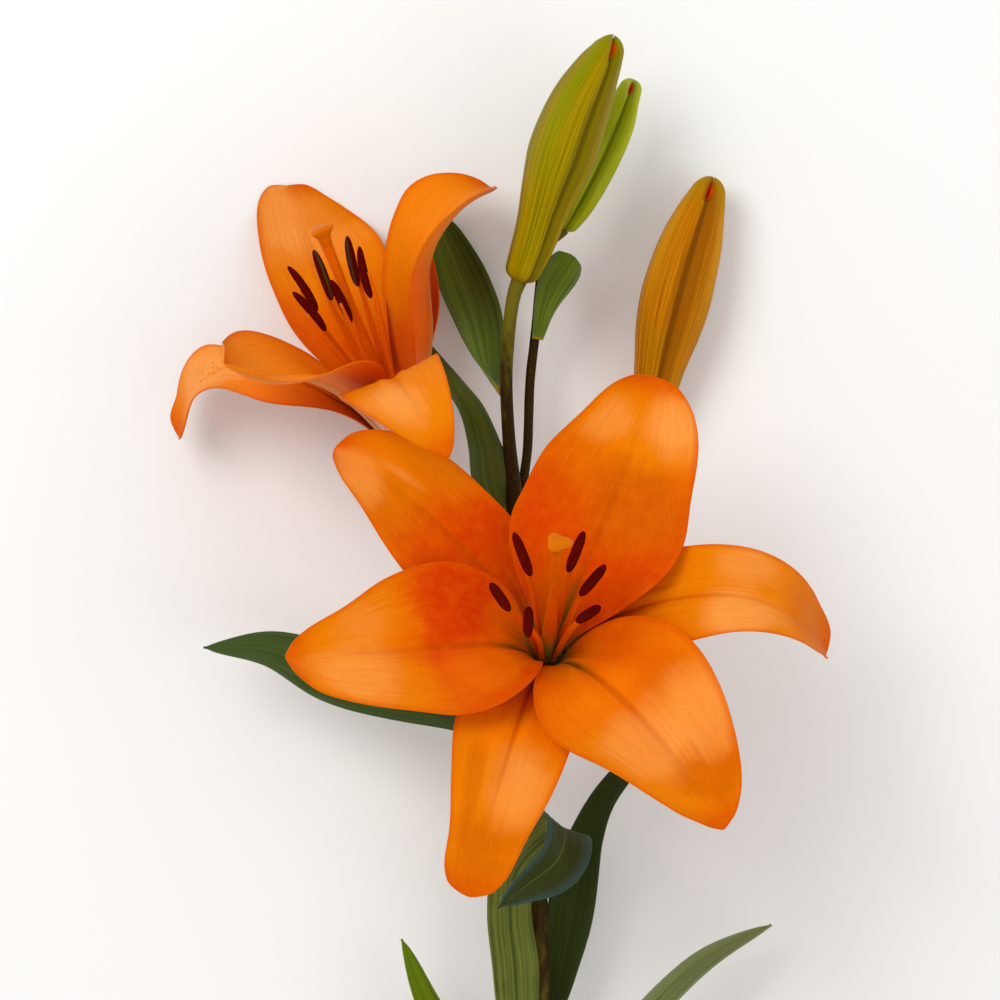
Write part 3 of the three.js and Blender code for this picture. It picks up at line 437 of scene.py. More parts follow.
def keyed(keys, t):
    """A smooth value at each t from 0 to 1 through evenly spaced keys, by a cubic whose slope at a key is
    half the step between its neighbours."""
    keys = np.asarray(keys, float)
    last = len(keys) - 1
    place = np.clip(t, 0, 1) * last
    i = np.minimum(place.astype(int), last - 1)
    f = place - i
    a, b, c, d = keys[np.maximum(i - 1, 0)], keys[i], keys[i + 1], keys[np.minimum(i + 2, last)]
    return b + 0.5 * f * (c - a + f * (2 * a - 5 * b + 4 * c - d + f * (3 * (b - c) + d - a)))


def smooth_line(points, count):
    """Even steps along a smooth curve through the points, and how far each is through the list, from 0 to
    1. Each span is a cubic with the tangents of a Catmull-Rom curve whose knots are the square roots of
    the chords apart."""
    p = np.asarray(points, float)
    p = np.vstack([2 * p[0] - p[1], p, 2 * p[-1] - p[-2]])
    knots = np.linalg.norm(np.diff(p, axis=0), axis=1)[:, None] ** 0.5
    p0, p1, p2, p3 = p[:-3], p[1:-2], p[2:-1], p[3:]
    k0, k1, k2 = knots[:-2], knots[1:-1], knots[2:]
    leave = ((p1 - p0) / k0 - (p2 - p0) / (k0 + k1) + (p2 - p1) / k1) * k1
    arrive = ((p2 - p1) / k1 - (p3 - p1) / (k1 + k2) + (p3 - p2) / k2) * k1
    f = np.linspace(0, 1, SPAN_STEPS + 1)[:-1][None, :, None]
    spans = ((2 * f**3 - 3 * f**2 + 1) * p1[:, None] + (f**3 - 2 * f**2 + f) * leave[:, None]
             + (3 * f**2 - 2 * f**3) * p2[:, None] + (f**3 - f**2) * arrive[:, None])
    fine = np.vstack([spans.reshape(-1, 3), p[-2]])
    share = np.linspace(0, 1, len(fine))
    reach = np.concatenate([[0], np.cumsum(np.linalg.norm(np.diff(fine, axis=0), axis=1))])
    even = np.linspace(0, reach[-1], count)
    places = np.stack([np.interp(even, reach, fine[:, axis]) for axis in range(3)], axis=1)
    return places, np.interp(even, reach, share)


def planted_line(points, depth, count):
    """Even steps along a smooth line and the line's direction at each. Its foot is first moved back by
    the depth, into what carries it."""
    points = np.array(points, float)
    points[0] += depth * unit(points[0] - points[1])
    places = smooth_line(points, count)[0]
    return places, unit(np.gradient(places, axis=0))


def grid_faces(index):
    """Faces with four corners between neighbours in a grid of point numbers."""
    return np.stack([index[:-1, :-1], index[:-1, 1:], index[1:, 1:], index[1:, :-1]], axis=-1).reshape(-1, 4)


def side_widths(piece, half, t, u):
    """Half the width at each t, times the smooth value of the keys for the side that u lies on."""
    left, right = (keyed(piece.get(side, [1, 1]), t)[:, None] for side in ("left", "right"))
    return half[:, None] * np.where(u < 0, left, right)


def blade_mesh(middle, face, thickness, u, t):
    """A closed blade. Its two faces are the middle surface moved half a thickness either way along its
    normal, which is the product of its two slopes, and a rim joins them. Its flow values are u across and
    t along it, and 1 on the side that face points to, 0 on the other."""
    rows, columns = middle.shape[:2]
    middle[..., 2] = np.maximum(middle[..., 2], thickness / 2)
    normal = unit(np.cross(np.gradient(middle, axis=1), np.gradient(middle, axis=0)))
    towards = np.sign(np.sum(normal * face[:, None, :]))
    offset = normal * towards * thickness[..., None] / 2
    points = np.concatenate([(middle + offset).reshape(-1, 3), (middle - offset).reshape(-1, 3)])
    points[:, 2] = np.maximum(points[:, 2], 0)
    count = rows * columns
    index = np.arange(count).reshape(rows, columns)
    rim = np.concatenate([index[0], index[1:, -1], index[-1, -2::-1], index[-2:0:-1, 0]])
    following = np.roll(rim, -1)
    wall = np.stack([rim, rim + count, following + count, following], axis=1)
    faces = np.concatenate([grid_faces(index), grid_faces(index + count)[:, ::-1], wall])
    if towards < 0:
        faces = faces[:, ::-1]
    flow = on_one_grid(u[None, :], t[:, None]).reshape(-1, 2)
    sides = np.repeat([1.0, 0.0], count)
    return points, faces.tolist(), np.column_stack([np.concatenate([flow, flow]), sides])


def rings_mesh(rings, flow):
    """A closed skin through rings of points, with a fan to the middle of the ring at each end."""
    count, sides = rings.shape[:2]
    index = np.arange(count * sides).reshape(count, sides)
    body = grid_faces(np.concatenate([index, index[:, :1]], axis=1))
    first, last = count * sides, count * sides + 1
    start = np.stack([np.roll(index[0], -1), index[0], np.full(sides, first)], axis=1)
    end = np.stack([index[-1], np.roll(index[-1], -1), np.full(sides, last)], axis=1)
    points = np.concatenate([rings.reshape(-1, 3), rings[0].mean(0)[None], rings[-1].mean(0)[None]])
    points[:, 2] = np.maximum(points[:, 2], 0)
    values = np.concatenate([flow.reshape(-1, 3), flow[0].mean(0)[None], flow[-1].mean(0)[None]])
    centre = points.mean(0)
    a, b, c = (points[body[:, k]] - centre for k in range(3))
    inside_out = np.sum(np.cross(a, b) * c) < 0
    faces = body.tolist() + start.tolist() + end.tolist()
    if inside_out:
        faces = [face[::-1] for face in faces]
    return points, faces, values


def ring_points(places, one, other, radius, angle):
    """Points round each place: radius x cos(angle) along one direction and radius x sin(angle) along the
    other."""
    return (places[:, None] + (radius * np.cos(angle))[..., None] * one[:, None]
            + (radius * np.sin(angle))[..., None] * other[:, None])


def tube_mesh(points, radii, sides, steps, section, tint):
    """A closed tube of rings square to a smooth line through the points. A ring's radius is the smooth
    value of the radii there times section(angle, share of the length). Its flow values are the cosine and
    sine of the angle round it, and the tint along it."""
    places, share = smooth_line(points, steps)
    along = unit(np.gradient(places, axis=0))
    one = unit(np.array([1.0, 0, 0]) - along[:, :1] * along)
    angle, t = ring_angles(sides), np.linspace(0, 1, steps)[:, None]
    radius = keyed(radii, share)[:, None] * section(angle, t)
    rings = ring_points(places, one, np.cross(along, one), radius, angle)
    return rings_mesh(rings, on_one_grid(np.cos(angle), np.sin(angle), keyed(tint, t)))


def joined(parts):
    """Several closed meshes as one list of points, faces and flow values."""
    points, faces, flows = [], [], []
    for more_points, more_faces, more_flow in parts:
        start = sum(len(p) for p in points)
        points.append(more_points)
        faces += [[corner + start for corner in face] for face in more_faces]
        flows.append(more_flow)
    return np.concatenate(points), faces, np.concatenate(flows)


def add_piece(name, shape, material, node):
    """Puts a shape in the scene as one smooth object that rides on the stem's body and stands for its
    node."""
    points, faces, flow = shape
    mesh = bpy.data.meshes.new(name)
    mesh.from_pydata((points - CENTRE_OF_FOOTPRINT) * METRES, [], faces)
    attribute = mesh.attributes.new("flow", "FLOAT_VECTOR", "POINT")
    attribute.data.foreach_set("vector", flow.astype(np.float32).ravel())
    mesh.polygons.foreach_set("use_smooth", np.ones(len(mesh.polygons), bool))
    mesh.materials.append(material)
    mesh.update()
    piece = bpy.data.objects.new(name, mesh)
    bpy.context.scene.collection.objects.link(piece)
    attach(piece, "root")
    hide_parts(node)


# Blooms


def bloom_axis(bloom):
    """The direction that leans from straight up towards the bloom's heading."""
    lean, heading = math.radians(bloom["lean"]), math.radians(bloom["heading"])
    return np.array([math.sin(lean) * math.cos(heading), math.sin(lean) * math.sin(heading), math.cos(lean)])


def radial_of(bloom, azimuth):
    """The direction square to the bloom's axis and an azimuth round it from the level one."""
    heading, angle = math.radians(bloom["heading"]), math.radians(azimuth)
    level = np.array([math.sin(heading), -math.cos(heading), 0])
    return math.cos(angle) * level + math.sin(angle) * np.cross(bloom_axis(bloom), level)


def tepal_half_width(tepal, claw, t):
    """Half of width x (claw + (1 - claw) sin^2 of a quarter turn up to the peak) x (1 - past^2.3)^point
    beyond it, closed in a quarter ellipse over the last few hundredths."""
    rise = claw + (1 - claw) * np.sin(math.pi / 2 * np.minimum(1, t / tepal["peak"])) ** 2
    past = np.maximum(0, (t - tepal["peak"]) / (1 - tepal["peak"]))
    fall = (1 - (BLUNT * past) ** 2.3) ** tepal["point"]
    half = np.maximum(tepal["width"] / 2 * rise * fall, TEPAL_LEAST_HALF_WIDTH)
    return np.maximum(half * closing(t, *TEPAL_TIP), LEAST_HALF_WIDTH)


def tepal_mesh(bloom, whorl, tepal, sizes):
    """The midrib starts on the receptacle and sums short steps along cos(flare) axis + sin(flare) radial,
    turned sideways by sway. Across it the blade is an arc of the cup's half angle, sunk along the midrib
    by its groove between two low shoulders, with low ribs along it, a rolled margin that waves as the
    cube of the distance from the midrib, and a hooded tip."""
    axis, radial = bloom_axis(bloom), radial_of(bloom, tepal["azimuth"])
    sideways = radial_of(bloom, tepal["azimuth"] + 90)
    fine = np.linspace(0, 1, MIDRIB_STEPS + 1)[:, None]
    flare, sway = np.radians(keyed(tepal["flare"], fine)), np.radians(tepal["sway"] * 2 * fine)
    outward = np.cos(flare) * axis + np.sin(flare) * radial
    inner = np.sin(flare) * axis - np.cos(flare) * radial
    along = np.cos(sway) * outward + np.sin(sway) * sideways
    level = np.cos(sway) * sideways - np.sin(sway) * outward
    twist = np.radians(tepal["twist"] * fine**2)
    face = np.cos(twist) * inner + np.sin(twist) * level
    across = np.cos(twist) * level - np.sin(twist) * inner
    start = np.array(bloom["base"]) + WHORLS[whorl]["start_radius"] * radial - SEAT_GAP * axis
    step = (tepal["length"] + 2 * SEAT_GAP) / MIDRIB_STEPS
    rib = start + step * np.vstack([np.zeros(3), np.cumsum(along[:-1], axis=0)])

    rows, columns, power = TEPAL_GRID
    t = crowded(rows, power)
    rib, face, across = resampled(t, rib), unit(resampled(t, face)), unit(resampled(t, across))
    quarter = math.pi / 2 * MARGIN_CROWDING
    u = np.sin(np.linspace(-quarter, quarter, columns)) / math.sin(quarter)
    half = side_widths(tepal, tepal_half_width(tepal, WHORLS[whorl]["claw"], t), t, u)
    arc = np.radians(keyed(tepal["cup"], t) + HOOD["curl"] * smooth_step(t, HOOD["start"], 1))[:, None]
    down = t[:, None]
    body = np.sin(math.pi * np.minimum(1, down + 0.08))
    phase = math.radians(3 * tepal["azimuth"])
    sink = WHORLS[whorl]["groove"] * bell(u, 0, GROOVE_WIDTH) * body
    shoulders = SHOULDER["height"] * bell(np.abs(u), SHOULDER["place"], SHOULDER["width"]) * body
    roll = MARGIN_ROLL * u**2 * np.sin(2 * math.pi * (1.1 * down + 0.3 * u) + 2 * phase) * body
    ribs = sizes.tepal_rib / METRES * np.cos(2 * math.pi * RIBS_EACH_SIDE * u) * body * (1 - u**4)
    swing = np.sin(4.4 * math.pi * down + phase + 1.1 * np.sign(u))
    wave = sizes.tepal_wave / METRES * np.abs(u) ** 3 * swing * body
    lift = half * (1 - np.cos(arc * u)) / arc - sink + shoulders + roll + ribs + wave
    middle = (rib[:, None] + (half * np.sin(arc * u) / arc)[..., None] * across[:, None]
              + lift[..., None] * face[:, None])
    thick, edge = sizes.tepal_thickness / METRES, sizes.tepal_edge / METRES
    thickness = (edge + (thick - edge) * (1 - u**2)) * (0.75 + 0.25 * body)
    return blade_mesh(middle, face, thickness, u, t)


def anther_place(bloom, stamen):
    """Middle, long direction and front of an anther, and the two points by which its filament comes to
    its back."""
    azimuth, reach, height, tilt, turn = stamen
    axis, radial, sideways = bloom_axis(bloom), radial_of(bloom, azimuth), radial_of(bloom, azimuth + 90)
    tilt, turn = math.radians(tilt), math.radians(turn)
    middle = np.array(bloom["base"]) + height * axis + reach * radial
    leaning = math.cos(tilt) * axis + math.sin(tilt) * radial
    along = unit(math.cos(turn) * leaning + math.sin(turn) * sideways)
    approach = unit(axis + 0.3 * radial)
    front = approach - approach.dot(along) * along
    if np.linalg.norm(front) < 0.5:
        front = radial.dot(along) * along - radial
        approach = along
    front = unit(front)
    behind = middle - front * (bloom["anther"]["depth"] / 2 + FILAMENT["clearance"])
    below = behind - 0.6 * bloom["anther"]["length"] * approach - FILAMENT["bow"] * front
    return middle, along, front, behind, below


def anther_mesh(bloom, stamen):
    """Rings square to a slightly bowed line. Their size is the square root of 1 - |2t - 1|^3, and a
    furrow runs down the front and the back between the two pollen sacs, under low grains from a product
    of sines."""
    length, width, depth = (bloom["anther"][key] for key in ("length", "width", "depth"))
    middle, along, front = anther_place(bloom, stamen)[:3]
    rows, sides = ANTHER_GRID
    s, angle = np.sin(np.linspace(-math.pi / 2, math.pi / 2, rows))[:, None], ring_angles(sides)
    swell = np.sqrt(np.maximum(1 - np.abs(s) ** 3, 0)) * (1 - 0.06 * s) + 0.01
    furrow = 1 - SAC_FURROW["depth"] * bell(np.sin(angle), 0, SAC_FURROW["width"]) * (1 - s**6)
    grain = 1 + POLLEN * np.sin(9 * angle + 31 * s) * np.sin(47 * s - 4 * angle)
    bow = ANTHER_BOW * (1 - s**2) - ANTHER_BOW / 2
    places = middle + s * length / 2 * along + bow * front
    rings = ring_points(places, front[None] * depth / 2, np.cross(along, front)[None] * width / 2,
                        swell * furrow * grain, angle)
    return rings_mesh(rings, on_one_grid(np.cos(angle), np.sin(angle), s / 2 + 0.5))


def ovary_ribs(angle, t):
    """Six shallow furrows along the first quarter of the length."""
    return 1 - 0.09 * (1 - np.cos(6 * angle)) / 2 * (t < 0.25)


def stigma_lobes(angle, t):
    """Three lobes that grow with t, on an ellipse that grows narrower, drawn in at the top to leave a
    brim."""
    lobes = 1 + 0.2 * t * np.cos(3 * angle)
    ellipse = np.sqrt(np.cos(angle) ** 2 + (1 + 0.75 * t) * np.sin(angle) ** 2)
    return lobes * np.sqrt(1 - 0.55 * smooth_step(t, 0.82, 1) ** 2) / ellipse


def filament_oval(angle, t):
    """A slightly oval section, the same all along."""
    return 1 - 0.12 * np.cos(2 * angle)


def pistil_mesh(bloom):
    """A six-ribbed ovary and a style that widens into a three-lobed stigma with a sunk middle, and six
    filaments that taper to the backs of the anthers. Tint 0 is ovary, 0.5 style and filament, 1
    stigma."""
    base, axis, bend = np.array(bloom["base"]), bloom_axis(bloom), radial_of(bloom, 90)

    def line(*places):
        """Points from their heights up the axis and how far they are bent aside."""
        return [base + height * axis + lift * bend for height, lift in places]

    top, lift, neck = STYLE["length"], bloom["style_bend"], STYLE["radius_at_top"]
    style = line((-SEAT_GAP, 0), (OVARY["length"], 0), (top * 0.65, lift * 0.4), (top, lift))
    head = line((top - STIGMA["foot"], lift * 0.97), (top, lift), (top + STIGMA["brim"], lift * 1.05),
                (top + STIGMA["length"], lift * 1.1))
    style_radii = [OVARY["foot_radius"], OVARY["radius"], STYLE["radius"], neck]
    head_radii = [neck, STIGMA["neck_radius"], STIGMA["brim_radius"], STIGMA["radius"]]
    parts = [tube_mesh(style, style_radii, *STYLE_TUBE, ovary_ribs, [0, 0.4, 0.5, 0.5, 0.6]),
             tube_mesh(head, head_radii, *STIGMA_TUBE, stigma_lobes, [0.6, 0.8, 1, 1])]
    start, wide = FILAMENT["start_radius"], FILAMENT["radius"]
    for stamen in bloom["stamens"]:
        azimuth, reach, height = stamen[:3]
        radial = radial_of(bloom, azimuth)
        behind, below = anther_place(bloom, stamen)[3:]
        points = [base - SEAT_GAP * axis + start * radial,
                  base + height * 0.4 * axis + (start + 0.25 * reach) * radial, below, behind]
        radii = [wide, wide, wide * 0.8, FILAMENT["tip_radius"]]
        parts.append(tube_mesh(points, radii, *FILAMENT_TUBE, filament_oval, [0.42, 0.5, 0.5]))
    return joined(parts)


# Buds, stem and leaves


def bud_mesh(bud, sizes):
    """Rings square to the bud's middle line. Their size follows the profile keys, rounded off as a
    quarter ellipse at both ends. Three broad ridges stand on it with a sharp seam between each two, fine
    flutes run along it, and at the tip the seams sink so that three blunt lobes are left."""
    rows, sides, power = BUD_GRID
    places, along = planted_line(bud["points"], BUD_SUNK, rows)
    t = crowded(rows, power)
    places, along = resampled(t, places), unit(resampled(t, along))
    one = unit(np.array([0, 0, 1.0]) - along[:, 2:] * along)
    foot = 0.5 + 0.5 * np.sqrt(np.minimum(1, t / 0.03))
    size = (keyed(bud["profile"], t) * foot * closing(t, *BUD_TIP))[:, None]
    grown, lobed = smooth_step(t, 0, 0.2)[:, None], smooth_step(t, 0.84, 0.99)[:, None]
    angle = ring_angles(sides)
    turned = angle + math.radians(bud["turn"])
    ridge = np.cos(3 * turned)
    section = (1 - bud["ridge"] + bud["ridge"] * (1 + lobed) * ridge * grown
               - sizes.bud_seam * bell(ridge, -1, SEAM_WIDTH) * grown * (1 + lobed)
               + KEEL["height"] * bell(ridge, 1, KEEL["width"]) * grown
               + FLUTE["height"] * np.cos(FLUTE["count"] * turned) * grown)
    half = bud["width"] / 2
    rings = ring_points(places, one, np.cross(along, one), size * section * half, angle)
    notch = LOBE_NOTCH["broad"] * (1 - ridge) + LOBE_NOTCH["sharp"] * bell(ridge, -1, LOBE_NOTCH["width"])
    rings -= (lobed**2 * notch * half)[..., None] * along[:, None]
    return rings_mesh(rings, on_one_grid(ridge, np.sin(3 * turned), t[:, None]))


def stem_ribs(angle, t):
    """Five faint ribs, and two sides that swell and sink slightly along the stalk."""
    return 1 + 0.025 * np.cos(5 * angle) + 0.015 * np.sin(60 * t) * np.cos(2 * angle)


def stem_mesh():
    """The stem and its flower stalks, as tubes that run into each other."""
    parts = []
    for line in STEM_LINES.values():
        points = np.array(line["points"])
        parts.append(tube_mesh(points[:, :3], points[:, 3], STEM_SIDES, line["steps"], stem_ribs,
                               line["tint"]))
    return joined(parts)


def carried_faces(tangents):
    """The face direction at each station: as near to straight up as the first tangent allows, then
    carried along without turning about the midrib."""
    faces = [np.array([0, 0, 1.0])]
    for along in tangents:
        faces.append(unit(faces[-1] - faces[-1].dot(along) * along))
    return np.array(faces[1:])


def leaf_half_width(leaf, t):
    """Half of width x (a sine rise from the base share to the peak) x (1 - blunt past^2)^0.8 beyond it."""
    least = leaf["base_share"]
    rise = least + (1 - least) * np.sin(math.pi / 2 * np.minimum(1, t / leaf["peak"]))
    past = np.maximum(0, (t - leaf["peak"]) / (1 - leaf["peak"]))
    fall = np.maximum(0, 1 - leaf.get("blunt", 1) * past**2) ** 0.8
    return np.maximum(leaf["width"] / 2 * rise * fall * closing(t, *LEAF_TIP), LEAST_HALF_WIDTH)


def leaf_mesh(leaf, sizes):
    """A blade along a smooth midrib, rolled about it. Its edges rise as the 1.5th power of the distance
    from the midrib and wave a little, and furrows run between the veins, as a cosine across the blade."""
    rows, columns, power = LEAF_GRID
    places, along = planted_line(leaf["points"], LEAF_SUNK, rows)
    face = carried_faces(along)
    across = np.cross(along, face)
    t = crowded(rows, power)
    places, face, across = resampled(t, places), unit(resampled(t, face)), unit(resampled(t, across))
    roll = np.radians(keyed(leaf["roll"], t))[:, None]
    across, face = np.cos(roll) * across + np.sin(roll) * face, np.cos(roll) * face - np.sin(roll) * across
    u = np.linspace(-1, 1, columns)
    half = side_widths(leaf, leaf_half_width(leaf, t), t, u)
    slender = np.minimum(half / SLENDER_LEAF, 1)
    furrows = np.cos(2 * math.pi * VEINS_EACH_SIDE * u) - MIDRIB["depth"] * bell(u, 0, MIDRIB["width"])
    wave = LEAF_WAVE * u**2 * np.sin(7 * t[:, None] + 2 * np.sign(u) + leaf["width"])
    lift = LEAF_FOLD * half * np.abs(u) ** 1.5 + (sizes.leaf_vein / METRES * furrows + wave) * slender
    middle = places[:, None] + (half * u)[..., None] * across[:, None] + lift[..., None] * face[:, None]
    thick, edge = sizes.leaf_thickness / METRES, sizes.leaf_edge / METRES
    return blade_mesh(middle, face, edge + (thick - edge) * (1 - u**2), u, t)


# Finishes

TEPAL_GLEAM = (1.0, 0.42, 0.08)
LEAF_GLEAM = (0.75, 0.9, 0.4)
BUD_GLEAM = (0.9, 0.8, 0.15)


def dimmed(colour, share):
    return tuple(share * c for c in colour)


class Finish:
    """A node material in the making: short calls that add a node, wire it and give back its output."""

    def __init__(self, name, roughness, subsurface=0.0, radius=(0.002, 0.0008, 0.0003), specular=0.0,
                 gleam=(1.0, 0.62, 0.28)):
        self.material = bpy.data.materials.new(name)
        self.material.use_nodes = True
        self.tree = self.material.node_tree
        self.tree.nodes.clear()
        self.shader = self.node("BsdfPrincipled", {
            "Roughness": roughness, "Specular IOR Level": specular, "Specular Tint": gleam,
            "Subsurface Weight": subsurface, "Subsurface Radius": radius, "Subsurface Scale": 1.0})
        self.node("OutputMaterial", {"Surface": self.shader.outputs["BSDF"]})
        self.flow = self.node("Attribute", {}, attribute_name="flow").outputs["Vector"]
        self.x, self.y, self.z = self.node("SeparateXYZ", {0: self.flow}).outputs
        self.place = self.node("TexCoord", {}).outputs["Object"]

    def put(self, socket, value):
        if isinstance(value, bpy.types.NodeSocket):
            self.tree.links.new(value, socket)
        elif socket.type == "RGBA":
            socket.default_value = (*tuple(value)[:3], 1)
        else:
            socket.default_value = value

    def node(self, kind, inputs, **settings):
        node = self.tree.nodes.new("ShaderNode" + kind)
        for name, setting in settings.items():
            setattr(node, name, setting)
        for socket, value in inputs.items():
            self.put(node.inputs[socket], value)
        return node

    def calc(self, operation, a, b=0.0):
        return self.node("Math", {0: a, 1: b}, operation=operation).outputs[0]

    def add(self, a, b):
        return self.calc("ADD", a, b)

    def times(self, product, *others):
        for other in others:
            product = self.calc("MULTIPLY", product, other)
        return product

    def swing(self, noise, amount):
        """A noise of 0 to 1 moved to lie evenly about 0, times the amount."""
        return self.times(self.calc("SUBTRACT", noise, 0.5), amount)

    def rise(self, value, low, high, top=1.0):
        """0 where value is low, top where it is high, smooth between. Where low is above high it falls."""
        inputs = {"Value": value, "From Min": low, "From Max": high, "To Max": top}
        return self.node("MapRange", inputs, interpolation_type="SMOOTHSTEP").outputs["Result"]

    def mix(self, share, a, b):
        return self.node("Mix", {0: share, 6: a, 7: b}, data_type="RGBA").outputs[2]

    def layers(self, ground, *layers):
        """The ground with colours mixed over it. A layer is a colour and one or more rises, each as its
        value, low, high and top, and the product of the rises is the colour's share."""
        for colour, *rises in layers:
            ground = self.mix(self.times(*(self.rise(*words) for words in rises)), ground, colour)
        return ground

    def stretched(self, vector, scale, shift=(0.0, 0.0, 0.0)):
        return self.node("Mapping", {"Vector": vector, "Scale": scale, "Location": shift}).outputs[0]

    def noise(self, vector, scale, detail=3.0, roughness=0.55):
        inputs = {"Vector": vector, "Scale": scale, "Detail": detail, "Roughness": roughness}
        return self.node("TexNoise", inputs).outputs["Fac"]

    def streaks(self, stretch, scale=2.0, detail=3.0, roughness=0.6):
        """Noise stretched along the surface."""
        return self.noise(self.stretched(self.flow, stretch), scale, detail, roughness)

    def length(self, vector):
        return self.node("VectorMath", {0: vector}, operation="LENGTH").outputs["Value"]

    def bump(self, height, strength, distance):
        bump = self.node("Bump", {"Height": height, "Strength": strength, "Distance": distance})
        self.put(self.shader.inputs["Normal"], bump.outputs[0])

    def colour(self, ground, *layers):
        """Gives the shader the ground and its layers, and gives back the material."""
        self.put(self.shader.inputs["Base Color"], self.layers(ground, *layers))
        return self.material


def patch_layer(look, colours, drift, patch):
    """A soft-edged oval, ragged by the drift. The kind specks is a patch of fine dots in the vein's
    colour."""
    kind, u, t, wide, long, strength = patch
    oval = look.length(look.stretched(look.flow, (1 / wide, 1 / long, 0), (-u / wide, -t / long, 0)))
    soft = (look.add(oval, look.times(drift, 2.2)), 1.4, 0.4, strength)
    if kind == "specks":
        return colours.vein, soft, (look.noise(look.place, 900.0, 2.0), 0.62, 0.68)
    return getattr(colours, kind), soft


def tepal_finish(name, colours, tepal):
    """Orange deepening to the throat, a lighter glow beyond where it stays warm, the tepal's patches, a
    redder tip and margin, streaks along the veins, olive lines fanning out of the honey furrow at the
    foot, and a pinker outer face with a pale keel. Of the patches, the palest are painted highlights and
    the clearest orange ones painted light over parts that lie in shade; that clear orange also makes a
    fine mottle over the whole tepal. x is the share across from the midrib, y the share of the length,
    z 1 on the inner face."""
    look = Finish(name, 0.42, subsurface=0.15, specular=0.12, gleam=TEPAL_GLEAM)
    blade = tuple(a + tepal["deep"] * (b - a) for a, b in zip(colours.clear_blade, colours.deep_blade))
    away = look.calc("ABSOLUTE", look.x)
    broad = look.streaks((9.0, 1.6, 1.0), roughness=0.5)
    fine = look.streaks((42.0, 2.0, 1.0))
    drift = look.add(look.swing(look.noise(look.place, 42.0, 3.0, 0.5), 1.0), look.swing(broad, 0.22))
    reach = look.add(look.y, look.times(drift, 0.5))
    foot = look.calc("SUBTRACT", look.y, look.times(broad, 0.12))
    inner = look.layers(
        colours.throat,
        (blade, (look.y, 0.07, 0.24)),
        (colours.glow, (reach, tepal["warm"] - 0.16, tepal["warm"] + 0.16)),
        (colours.tip, (look.y, 0.88, 1.0, 0.85)),
        *(patch_layer(look, colours, drift, patch) for patch in tepal.get("patches", ())),
        (colours.tip, (away, 0.88, 1.0, 0.6)),
        (colours.vein, (away, 0.08, 0.01), (look.y, 0.97, 0.3, 0.6)),
        (colours.ovary, (foot, 0.1, -0.02, 0.75)),
        (colours.furrow, (fine, 0.46, 0.6), (foot, 0.26, 0.05), (away, 0.75, 0.1)),
        (colours.furrow, (away, 0.16, 0.03), (foot, 0.3, 0.08)))
    outer = look.layers(
        colours.outside,
        (blade, (reach, 0.12, 0.3)),
        (colours.glow, (reach, 0.45, 0.75, 0.8)),
        (colours.keel, (away, 0.2, 0.04), (look.y, 1.05, 0.4, 0.7)))
    look.bump(look.add(fine, broad), 0.45, 0.0006)
    return look.colour(
        look.mix(look.z, outer, inner),
        (colours.tip, (fine, 0.5, 0.75, 0.3)),
        (blade, (broad, 0.58, 0.8, 0.3)),
        (colours.bright, (look.noise(look.place, 260.0, 5.0, 0.7), 0.35, 0.8, 0.22)))


def leaf_finish(name, colours, upper, under, dust, rim=None, shaded=0.0):
    """Green with parallel veins: streaks stretched along the blade, a paler midrib line, a waxy bloom
    towards the margins and a yellow foot. Where a rim colour is given it takes the bloom's place at the
    margins, and on the folded leaf it is a painted sheen. The under face is greyer and duller, and the
    right half may be darkened with painted shade."""
    look = Finish(name, 0.45, subsurface=0.05, radius=(0.0006, 0.001, 0.0002), specular=0.2, gleam=LEAF_GLEAM)
    away = look.calc("ABSOLUTE", look.x)
    broad = look.streaks((6.0, 0.5, 1.0), detail=5.0)
    fine = look.streaks((40.0, 1.5, 1.0))
    clouds = look.noise(look.place, 70.0, 4.0)
    face = look.layers(
        colours.leaf_dark,
        (upper, (broad, 0.24, 0.6)),
        (colours.bloom_dust, (clouds, 0.45, 0.75, 0.6 * dust)),
        # At the margins: the waxy bloom, and on the folded leaf a painted sheen in the rim colour
        (rim or colours.bloom_dust, (away, 0.55, 0.95, dust)),
        (under, (away, 0.06, 0.01, 0.4)))
    back = look.layers(
        upper,
        (under, (broad, 0.3, 0.7)),
        (under, (clouds, 0.4, 0.7, 0.3)),
        (colours.leaf_dark, (away, 0.13, 0.03, 0.55)))
    look.bump(look.add(fine, broad), 0.35, 0.0004)
    return look.colour(
        look.mix(look.z, back, face),
        (colours.leaf_dark, (fine, 0.5, 0.8, 0.2)),
        # Painted shade over the right half
        (colours.leaf_dark, (look.x, -0.1, 0.5, shaded)),
        (colours.bud_green, (look.y, 0.05, 0.0, 0.8)))


def bud_finish(name, colours, ground, stripe, ends, keel):
    """Stripes along the bud, darker in the seams, and a greener tip with orange showing between its lobes.
    x and y are the cosine and sine of three times the angle round the bud, and z the share of its length."""
    look = Finish(name, 0.42, subsurface=0.08, radius=(0.001, 0.0008, 0.0002), specular=0.12, gleam=BUD_GLEAM)
    broad = look.streaks((5.0, 5.0, 0.6), 2.4)
    fine = look.streaks((20.0, 20.0, 1.2))
    ribbon = look.add(look.x, look.swing(broad, 0.7))
    look.bump(look.add(fine, broad), 0.3, 0.0004)
    return look.colour(
        ground,
        (stripe, (broad, 0.44, 0.6, 0.95)),
        (keel, (fine, 0.5, 0.62, 0.5)),
        (ends, (look.noise(look.place, 45.0, 3.0), 0.45, 0.75, 0.4)),
        (keel, (ribbon, 0.5, 0.95), (look.z, 0.3, 0.75, 0.8)),
        (ends, (look.z, 0.82, 1.0, 0.75)),
        # Painted shade: the stripe colour darkens one side of each ridge next to its seam, the side turned
        # from the light
        (stripe, (look.x, 0.3, -0.5), (look.y, 0.05, -0.3, 0.75)),
        (dimmed(stripe, 0.6), (look.x, -0.9, -0.99, 0.85)),
        (colours.tip, (look.z, 0.955, 0.995), (look.x, -0.2, -0.7)))


